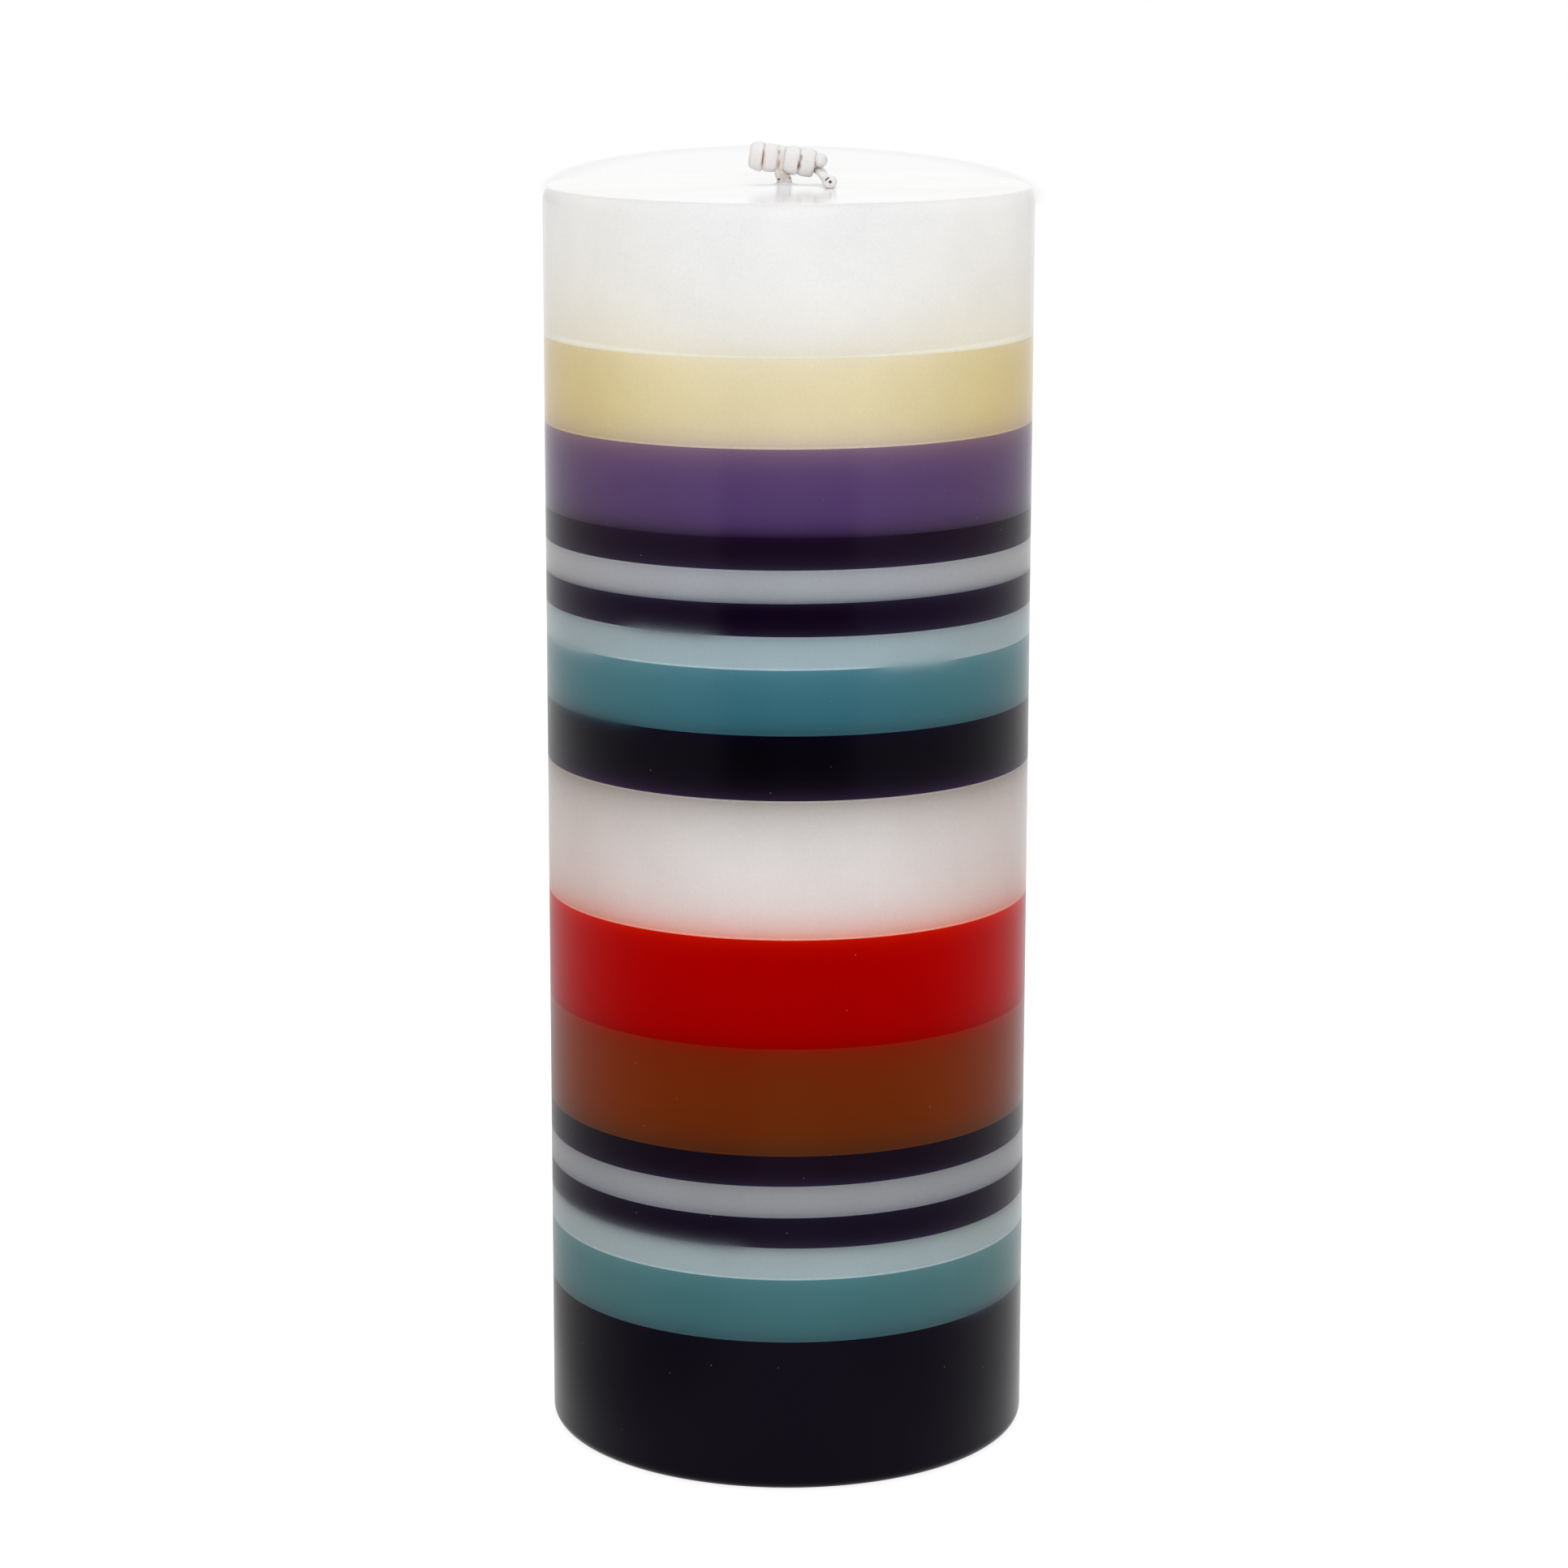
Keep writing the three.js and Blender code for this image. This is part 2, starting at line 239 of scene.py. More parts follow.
def sampled(graph, points, kind, name, index):  # an attribute of the given points, by their number
    if name == "position":
        value = graph.add("GeometryNodeInputPosition", {}, {})
    else:
        value = graph.add("GeometryNodeInputNamedAttribute", {"data_type": kind}, {"Name": name})
    sockets = {"Geometry": points, "Value": value, "Index": index}
    return graph.add("GeometryNodeSampleIndex", {"data_type": kind}, sockets)


def closeAndSmooth(graph, mesh, sharpAngle):  # joins the grid's edges, and keeps only the corners sharp
    mesh = graph.add("GeometryNodeMergeByDistance", {}, {"Geometry": mesh, "Distance": 1e-6})
    angle = graph.add("GeometryNodeInputMeshEdgeAngle", {}, {})
    sharp = {"A": angle, "B": math.radians(sharpAngle)}
    corner = graph.add("FunctionNodeCompare", {"data_type": "FLOAT"}, sharp)
    mesh = graph.add("GeometryNodeSetShadeSmooth", {"domain": "FACE"}, {0: mesh, "Shade Smooth": True})
    sockets = {0: mesh, "Selection": corner, "Shade Smooth": False}
    return graph.add("GeometryNodeSetShadeSmooth", {"domain": "EDGE"}, sockets)


# free end of the wick

wickRoute = {  # millimetres, from the wick's hole in the wax's top face
    "x": -0.7, "tilt": 7.4, "centreHeight": 3.87,  # the coil has an axis of its own, which leans by the tilt
    "wrapRadius": 1.68, "wrapFronts": [-4.42, -2.2, 1.12, 3.5], "start": -4.1,
    "firstFront": 450, "wrapsFrom": 275, "wrapsEnd": 270,  # degrees round the coil, the last past whole turns
    "endLean": 0.28, "endLeanFrom": (270, 380), "endLeanTo": (520, 720),
    "behind": (0.2, 0.7), "lastBehind": (0.2, 0.6),  # where in a turn a wrap steps on
    "drift": 0.08, "lastStep": 0.6,
    "coreHalf": 0.54, "nubCentre": 5.55, "nubRise": 0.6, "nubReach": 1.9,
    "stem": [  # a point and the way the braid's outer face looks
        [0, 0, 0, 1, 0, 0], [0, 0, 0.33, 1, 0, 0], [0, -0.1, 0.75, 1, 0, 0.1],
        [-0.46, -0.3, 1.4, 1, 0, 0.6], [-0.75, -0.5, 2.1, 1, 0, 0.5], [-0.75, -0.4, 2.6, 1, 0, -0.15],
    ],
    "intoCore": [
        [-0.45, -0.3, -0.85, 0.8, 0, -0.75], [-0.1, -0.1, -0.64, 0.35, 0, -0.95],
        [0.4, 0, -0.54, 0, 0, -1], [1.2, 0, -0.54, 0, 0, -1],
    ],
    "leftEnd": [
        [-3.2, 0, 0.54, 0, 0, 1], [-3.6, 0.05, 0.54, 0, 0, 1], [-4.0, 0.45, 0.6, 0, 0.1, 1],
        [-4.1, 1.05, 0.82, 0, 0.5, 0.9], [-4.1, 1.54, 0.67, 0, 0.92, 0.4], [-4.1, 1.68, 0, 0, 1, 0],
    ],
    "tail": [
        [4.7, 1.62, 2.85, 0, 0.85, -0.5], [5.15, 1.3, 2.3, -0.3, 0.3, -0.9],
        [5.86, -1.2, 1.72, -0.43, 0, -0.9], [6.45, -4.3, 1.26, -0.3, 0, -0.9],
        [6.9, -6.9, 0.97, -0.25, 0, -0.9], [7.05, -8.6, 1.0, -0.25, 0, -0.9],
    ],
    "ringStep": 0.16,
}
wickBraid = {  # millimetres
    "width": 2.4, "narrow": 2.12, "thickness": 1.05, "sides": 32, "flatness": 0.78,
    "widening": (29, 50), "narrowing": (6, 11),  # along the braid from its start, and back from its end
    "stemThickness": 2.3, "stemReach": 4.2, "plaitPitch": 2.2,
    "strands": 4, "pitch": 3.4, "relief": 0.03, "reliefOn": 0.8,  # the ridges, and the half width they suit
    "beadRadius": 1.04, "beadLength": 2.1, "beadNeck": 0.75,  # the neck as a share of the length
    "diameter": 0.0022, "length": 0.0791,  # metres
}


def smoothCurve(points, share):  # centripetal, through every point
    place = share * (len(points) - 1)
    step = min(int(place), len(points) - 2)
    first, last = points[step], points[step + 1]
    before = points[step - 1] if step > 0 else first * 2 - last
    after = points[step + 2] if step + 2 < len(points) else last * 2 - first
    gaps = [math.sqrt((b - a).length) for a, b in ((before, first), (first, last), (last, after))]
    middle = gaps[1] if gaps[1] > 1e-4 else 1
    lead, trail = [gap if gap > 1e-4 else middle for gap in (gaps[0], gaps[2])]
    outOf = ((first - before) / lead - (last - before) / (lead + middle) + (last - first) / middle) * middle
    into = ((last - first) / middle - (after - first) / (middle + trail) + (after - last) / trail) * middle
    t = place - step
    cubic = first * 2 - last * 2 + outOf + into
    square = last * 3 - first * 3 - outOf * 2 - into
    return first + outOf * t + square * t ** 2 + cubic * t ** 3


def smoothShare(value, start, end):  # 0 before start, 1 after end
    share = min(max((value - start) / (end - start), 0), 1)
    return share * share * (3 - 2 * share)


def wrapPosition(angle):  # a wrap stands nearly square to the coil and steps on behind it
    fronts = wickRoute["wrapFronts"]
    turns = (angle - wickRoute["firstFront"]) / 360
    if turns < 0:
        share = smoothShare(turns, -0.5, 0)
        return wickRoute["start"] + (fronts[0] - wickRoute["start"]) * share
    wrap = min(int(turns), len(fronts) - 1)
    share = turns - wrap
    if wrap + 1 == len(fronts):  # the last one only begins to move off behind the coil
        return fronts[wrap] + wickRoute["lastStep"] * smoothShare(share, *wickRoute["lastBehind"])
    behind = smoothShare(share, *wickRoute["behind"])
    return fronts[wrap] + (fronts[wrap + 1] - fronts[wrap]) * (behind + (share - behind) * wickRoute["drift"])


def wickStations():  # the braid's middle line, point by point, each with the way its outer face looks
    lean = Matrix.Rotation(math.radians(wickRoute["tilt"]), 4, "Y")
    place = Matrix.Translation((0, 0, wickRoute["centreHeight"])) @ lean
    half, nub = wickRoute["coreHalf"], wickRoute["nubCentre"]
    coreFrom, coreTo = wickRoute["intoCore"][-1][0], wickRoute["leftEnd"][0][0]
    stations = []

    def addInCoil(at, out):
        stations.append((place @ at, (lean @ out).normalized()))

    def addAsIs(at, out):
        stations.append((at, out.normalized()))

    def addBend(rows, steps, add):
        points = [Vector(row[:3]) for row in rows]
        facings = [Vector(row[3:]) for row in rows]
        for i in range(steps + 1):
            add(smoothCurve(points, i / steps), smoothCurve(facings, i / steps).normalized())

    def nubRise(x):
        return wickRoute["nubRise"] * smoothShare(x, nub - wickRoute["nubReach"], nub)

    addBend(wickRoute["stem"], 42, addAsIs)
    addBend(wickRoute["intoCore"], 18, addInCoil)
    for i in range(1, 24):  # through the middle of the coil to the right
        x = coreFrom + (nub - coreFrom) * i / 24
        addInCoil(Vector((x, 0, nubRise(x) - half)), Vector((0, 0, -1)))
    for i in range(25):  # half a turn at the knob
        angle = math.pi * i / 24
        out = Vector((math.sin(angle), 0, -math.cos(angle)))
        addInCoil(out * half + Vector((nub, 0, nubRise(nub))), out)
    for i in range(1, 36):  # and back
        x = nub + (coreTo - nub) * i / 36
        addInCoil(Vector((x, 0, nubRise(x) + half)), Vector((0, 0, 1)))
    addBend(wickRoute["leftEnd"], 36, addInCoil)
    lastAngle = 360 * len(wickRoute["wrapFronts"]) + wickRoute["wrapsEnd"]
    for angle in range(wickRoute["wrapsFrom"], lastAngle + 1, 5):
        out = Vector((0, -math.sin(math.radians(angle)), -math.cos(math.radians(angle))))
        at = out * wickRoute["wrapRadius"] + Vector((wrapPosition(angle), 0, 0))
        endLean = wickRoute["endLean"] * smoothShare(angle, *wickRoute["endLeanFrom"])
        endLean *= 1 - smoothShare(angle, *wickRoute["endLeanTo"])
        addInCoil(at, out - Vector((endLean, 0, 0)))  # the first wrap rounds off the left end
    behind, facing = stations.pop()
    addBend([[*behind, *facing]] + wickRoute["tail"], 60, addAsIs)
    return stations


def evenRings(stations, step):  # the same line with rings a fixed step apart
    rings, travelled, wanted = [stations[0]], 0, step
    for (start, startOut), (end, endOut) in zip(stations, stations[1:]):
        stretch = (end - start).length
        while stretch > 0 and travelled + stretch >= wanted:
            share = (wanted - travelled) / stretch
            rings.append((start.lerp(end, share), startOut.lerp(endOut, share).normalized()))
            wanted += step
        travelled += stretch
    return rings, travelled


def wickSeed(rings, length, foot):  # a line of points, each with its frame and the size of the braid there
    step = wickRoute["ringStep"]
    across, facing, wide, thick = [], [], [], []
    for i, (at, out) in enumerate(rings):
        before, after = rings[max(i - 1, 0)][0], rings[min(i + 1, len(rings) - 1)][0]
        along = (after - before).normalized()
        side = out.cross(along).normalized()
        across.append(side)
        facing.append(along.cross(side))
        fromStart, toEnd = i * step, length - i * step
        stem = 1 - smoothShare(fromStart, 0, wickBraid["stemReach"])
        stemThickness = wickBraid["stemThickness"] - wickBraid["thickness"]
        halfThick = (wickBraid["thickness"] + stemThickness * stem) / 2
        widened = smoothShare(fromStart, *wickBraid["widening"]) * smoothShare(toEnd, *wickBraid["narrowing"])
        halfWide = (wickBraid["narrow"] + (wickBraid["width"] - wickBraid["narrow"]) * widened) / 2
        beadNeck = wickBraid["beadLength"] * wickBraid["beadNeck"]
        bead = 1 - smoothShare(toEnd, beadNeck, wickBraid["beadLength"])
        halfThick += (wickBraid["beadRadius"] - halfThick) * bead
        halfWide += (wickBraid["beadRadius"] - halfWide) * bead
        roundOff = min(toEnd / wickBraid["beadRadius"], 1)
        cap = math.sqrt(max(1 - (1 - roundOff) ** 2, 0)) if 0 < i < len(rings) - 1 else 0
        wide.append(halfWide * cap * millimetre)
        thick.append(halfThick * cap * millimetre)
    mesh = bpy.data.meshes.new("wick_line")
    mesh.from_pydata([at * millimetre + foot for at, out in rings], [], [])
    for name, vectors in (("across", across), ("facing", facing)):
        data = mesh.attributes.new(name, "FLOAT_VECTOR", "POINT").data
        data.foreach_set("vector", [value for vector in vectors for value in vector])
    for name, sizes in (("halfWide", wide), ("halfThick", thick)):
        mesh.attributes.new(name, "FLOAT", "POINT").data.foreach_set("value", sizes)
    return mesh


def braidShape():  # a flat-faced tube along the line, with the crossing ridges of the plait
    tree, graph, given = newShape("braid", {
        "Rings": "Int", "Sides": "Int", "Ring Step": "Float", "Strands": "Int",
        "Pitch": "Float", "Relief": "Float", "Flatness": "Float", "Cotton": "Material",
    })

    def flattened(wave):
        size = graph.sum("POWER", graph.sum("ABSOLUTE", wave), given["Flatness"])
        return size * graph.sum("SIGN", wave)

    points, rings = given["Geometry"], given["Rings"]
    grid = gridOf(graph, given["Sides"] + 1, rings)
    column, row = gridPlaces(graph, rings)
    share = column / given["Sides"]
    angle = share * math.tau
    centre = sampled(graph, points, "FLOAT_VECTOR", "position", row)
    across = sampled(graph, points, "FLOAT_VECTOR", "across", row)
    facing = sampled(graph, points, "FLOAT_VECTOR", "facing", row)
    halfWide = sampled(graph, points, "FLOAT", "halfWide", row)
    halfThick = sampled(graph, points, "FLOAT", "halfThick", row)
    turns = row * given["Ring Step"] / given["Pitch"]
    leftHand = graph.sum("COSINE", (share * given["Strands"] + turns) * math.tau)
    rightHand = graph.sum("COSINE", (share * given["Strands"] - turns) * math.tau)
    ridge = graph.sum("MAXIMUM", leftHand, rightHand) * given["Relief"]
    full = graph.ease(halfThick, given["Relief"] * 4, given["Relief"] * 10)  # no ridges on the closed ends
    outward = 1 + ridge * full / (wickBraid["reliefOn"] * millimetre)
    sideways = graph.scale(across, halfWide * outward * flattened(graph.sum("COSINE", angle)))
    upward = graph.scale(facing, halfThick * outward * flattened(graph.sum("SINE", angle)))
    place = graph.vector("ADD", graph.vector("ADD", centre, sideways), upward)
    settings = {"data_type": "FLOAT2", "domain": "CORNER"}
    mesh = graph.add("GeometryNodeStoreNamedAttribute", settings,
                     {"Geometry": grid, "Name": "UVMap", "Value": grid["UV Map"]})
    mesh = graph.add("GeometryNodeSetPosition", {}, {"Geometry": mesh, "Position": place})
    mesh = closeAndSmooth(graph, mesh, 60)
    finishShape(graph, mesh, given["Cotton"])
    return tree


cottonLook = {
    # the tan is painted shade for the gaps between the wraps and towards the core
    "cotton": paint(231, 229, 228), "shade": paint(221, 215, 212), "tan": paint(216, 194, 178),
    "alongSeam": (1.9, 1, 0.55),  # makes a stain narrow across the seam and long on it
    "stains": [  # place in the coil's own millimetres, reach, strength, colour
        (-3.32, -2.0, -0.8, 0.85, 0.8, paint(196, 160, 130)),
        (-3.3, -2.1, 0.5, 0.85, 0.6, paint(212, 186, 162)),
        (-0.58, -1.9, 0.2, 1.3, 0.5, paint(226, 208, 202)),
        (-0.8, -2.0, -0.85, 0.75, 0.8, paint(184, 142, 108)),
        (-0.95, -1.8, 1.3, 0.5, 0.75, paint(158, 134, 128)),
        (2.5, -2.0, 0.95, 0.6, 0.85, paint(160, 116, 86)),
        (2.33, -2.05, -0.65, 0.75, 0.95, paint(146, 96, 60)),
        (4.75, -1.0, -1.3, 1.1, 0.55, paint(206, 176, 150)),
        (5.4, 0.3, -0.6, 1.1, 0.45, paint(208, 180, 156)),
    ],
    # painted shade: this light brown tint darkens the stem beneath the coil
    "wash": (-0.1, -1.0, 1.5, 1.5, 0.8, paint(204, 194, 184)),  # from here on measured from the wick's hole
    "dots": [
        (-0.8, -1.14, 0.95, 0.27, 1, paint(52, 52, 46)),
        (0.86, -0.86, 1.1, 0.24, 0.8, paint(104, 102, 92)),
        (7.03, -8.6, 1.08, 0.36, 1, paint(104, 40, 10)),
    ],
    "dash": ((6.32, -8.3, 1.3), (6.74, -8.33, 1.7), 0.19, 0.85, paint(88, 90, 94)),  # drawn as a row of dots
    "dashDots": 6,
}


def dashDots():  # overlapping, so that they read as one stroke
    dashFrom, dashTo, *dash = cottonLook["dash"]
    steps = cottonLook["dashDots"] - 1
    return [(*Vector(dashFrom).lerp(Vector(dashTo), i / steps), *dash) for i in range(steps + 1)]


def waxedCotton(coilTop):  # off-white plait soaked in wax, tan in the gaps between the wraps
    material, graph = newMaterial("waxed_cotton")
    place = graph.vector("SUBTRACT", graph.place(), (wickRoute["x"], 0, coilTop / millimetre))
    moved = graph.vector("SUBTRACT", place, (0, 0, wickRoute["centreHeight"]))
    lean = Matrix.Rotation(math.radians(-wickRoute["tilt"]), 4, "Y").to_euler()
    inCoil = graph.add("ShaderNodeMapping", {"vector_type": "POINT"}, {"Vector": moved, "Rotation": lean})
    x, y, z = graph.split(inCoil)
    fromAxis = graph.sum("SQRT", y * y + z * z)
    fibres = graph.noise(inCoil, 3.2, 4, 0.6)
    blotches = graph.noise(inCoil, 1.1, 2)
    color = graph.mix(graph.ease(fibres, 0.35, 0.7) * 0.35, cottonLook["cotton"], cottonLook["shade"])
    inBarrel = (1 - graph.ease(x, 4.2, 4.8)) * graph.ease(z, -2.4, -1.9)
    # painted shade: the tan laid patchily in the gaps between the wraps, and towards the core inside the
    # barrel
    grooveShade = (1 - graph.ease(fromAxis, 1.7, 2.12)) * graph.ease(blotches, 0.3, 0.6) * inBarrel
    coreShade = (1 - graph.ease(fromAxis, 1.3, 1.7)) * inBarrel
    color = graph.mix(grooveShade * 0.45 + coreShade * 0.4, color, cottonLook["tan"])
    stains = [(inCoil, cottonLook["alongSeam"], 0.7, 0.2, stain) for stain in cottonLook["stains"]]
    # the stem's tint is painted shade; the rest of these are stains and dots
    stains.append((place, (1, 1, 1), 0.9, 0.3, cottonLook["wash"]))
    stains += [(place, (1, 1, 1), 0.25, 0.5, dot) for dot in cottonLook["dots"] + dashDots()]
    for origin, stretch, ragged, core, (*centre, reach, strength, stainAndShadeColor) in stains:
        gap = graph.vector("MULTIPLY", graph.vector("SUBTRACT", origin, centre), stretch)
        edge = graph.vector("LENGTH", gap, output=1) + (fibres - 0.5) * ragged * reach
        color = graph.mix((1 - graph.ease(edge, reach * core, reach)) * strength, color, stainAndShadeColor)
    around, along, none = graph.split(graph.add("ShaderNodeUVMap", {"uv_map": "UVMap"}, {}))
    turns = along * (wickBraid["length"] / millimetre / wickBraid["plaitPitch"])
    rightHand = graph.wave((turns + around * 3) * math.tau)
    leftHand = graph.wave((turns - around * 3) * math.tau)
    plait = graph.sum("MAXIMUM", rightHand, leftHand)
    finishMaterial(graph, {
        "Base Color": graph.scale(color, 0.97 + plait * 0.03), "Roughness": 0.4 + (fibres - 0.5) * 0.2,
        "IOR": 1.3, "Subsurface Weight": 0.5, "Subsurface Radius": (1, 0.85, 0.7),
        "Subsurface Scale": 0.001, "Normal": graph.bump(plait * 0.6 + fibres, 0.35, 0.0001),
    })
    return material


waxLumps = {  # wax left between the second and third wraps and over the knob, in the coil's own millimetres
    "wick_wax_bridge": {"centre": (-0.58, -0.6, 0), "radii": (1.05, 1.42, 2.12), "bumps": 0.14, "seed": 3},
    "wick_wax_knob": {"centre": (5.38, -0.1, 0.6), "radii": (1.24, 1.7, 1.14), "bumps": 0.1, "seed": 8},
}


def lumpShape():  # an uneven drop, set in the coil's frame
    tree, graph, given = newShape("lump", {
        "Centre": "Vector", "Radii": "Vector", "Bumps": "Float", "Bump Size": "Float", "Seed": "Float",
        "Foot": "Vector", "Tilt": "Float", "Wax": "Material",
    })
    ball = graph.add("GeometryNodeMeshIcoSphere", {}, {"Radius": 1, "Subdivisions": 6})
    along = graph.add("GeometryNodeInputPosition", {}, {})
    sized = graph.vector("MULTIPLY", along, given["Radii"])
    seeded = graph.vector("ADD", sized, graph.scale(given["Seed"], 0.01))
    swell = graph.noise(seeded, 1 / given["Bump Size"], 3) - 0.5
    place = graph.vector("ADD", sized, graph.scale(along, swell * given["Bumps"] * 2))
    place = graph.vector("ADD", place, given["Centre"])
    turn = {"Vector": place, "Rotation": graph.add("ShaderNodeCombineXYZ", {}, {"Y": given["Tilt"]})}
    place = graph.add("ShaderNodeVectorRotate", {"rotation_type": "EULER_XYZ"}, turn)
    place = graph.vector("ADD", place, given["Foot"])
    mesh = graph.add("GeometryNodeSetPosition", {}, {"Geometry": ball, "Position": place})
    mesh = closeAndSmooth(graph, mesh, 80)
    finishShape(graph, mesh, given["Wax"])
    return tree


def makeWaxLumps(foot, cotton):
    tree, pieces = lumpShape(), []
    for name, lump in waxLumps.items():
        values = {
            "Centre": [value * millimetre for value in lump["centre"]],
            "Radii": [value * millimetre for value in lump["radii"]],
            "Bumps": lump["bumps"] * millimetre, "Bump Size": 0.9 * millimetre, "Seed": lump["seed"],
            "Foot": foot + Vector((0, 0, wickRoute["centreHeight"] * millimetre)),
            "Tilt": math.radians(wickRoute["tilt"]), "Wax": cotton,
        }
        piece = growPiece(name, bpy.data.meshes.new(name), tree, values)
        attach(piece, "root")
        pieces.append(piece)
    return pieces


def makeWick():
    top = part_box("top_layer_white")[1].z
    foot = Vector((wickRoute["x"] * millimetre, 0, top))
    rings, length = evenRings(wickStations(), wickRoute["ringStep"])
    cotton = waxedCotton(top)
    lumps = makeWaxLumps(foot, cotton)
    values = {
        "Rings": len(rings), "Sides": wickBraid["sides"], "Ring Step": wickRoute["ringStep"],
        "Strands": wickBraid["strands"], "Pitch": wickBraid["pitch"],
        "Relief": wickBraid["relief"] * millimetre, "Flatness": wickBraid["flatness"], "Cotton": cotton,
    }
    piece = growPiece("wick_wound_end", wickSeed(rings, length, foot), braidShape(), values)
    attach(piece, "root")
    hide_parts("wick_coil")
    [at * millimetre + foot for at, out in rings]
    print("wick wound:", len(rings), "rings,", round(length, 1), "mm")


makeWick()


# poured wax layers

body = {  # millimetres
    "radius": 38.1, "around": 256, "bore": 1.1,
    "rimReach": 1, "rimDrop": 2.5, "rimSteps": 12, "footRound": 1.75, "footSteps": 10,
    "wallRing": 0.3, "faceRing": 0.2,  # rings just past the rounds, which keep the flats flat
    "collarHeight": 0.45, "collarReach": 0.6, "collarSpan": 6, "collarSteps": 12,
    "recessRadius": 10.3, "recessDepth": 1.4, "neckRadius": 2.3, "neckDepth": 4.8,
    "shiftFrom": 11.5, "shiftTo": 30,  # round the wick up to the first radius, the candle past the second
    "glossLift": 0.005,  # the mirrored share of a white room, taken off every dye
}
gloss = {  # refractive index
    "wax_black": 1.19, "wax_teal": 1.3, "wax_pale_blue": 1.3, "wax_grey": 1.28, "wax_brown": 1.23,
    "wax_red": 1.16, "wax_warm_white": 1.25, "wax_purple": 1.3, "wax_cream": 1.25, "wax_white": 1.25,
}
glossTint = {  # where the gloss isn't white
    "wax_black": (0.8, 0.65, 0.9, 1), "wax_brown": (1, 1, 0.3, 1), "wax_red": (1, 0, 0, 1),
}
bleeding = {  # millimetres, at the line between two pours
    "wander": 0.16, "lineAt": 0.2, "lineHalf": (0.04, 0.17), "lineFade": 2, "spill": 0.55, "spillFade": 3,
}
waxFinish = {  # sizes in millimetres, noises in waves to the millimetre
    "clouds": 0.06, "grain": 2.6, "ripples": 0.35, "mottled": 0.16,
    "speckSpacing": 1.3, "speckSize": 0.12, "speckShow": 0.16, "speckColor": paint(200, 196, 196),
    "polish": 0.22, "cloudyPolish": 0.12, "streakyPolish": 0.08, "levelPolish": 0.07,
}
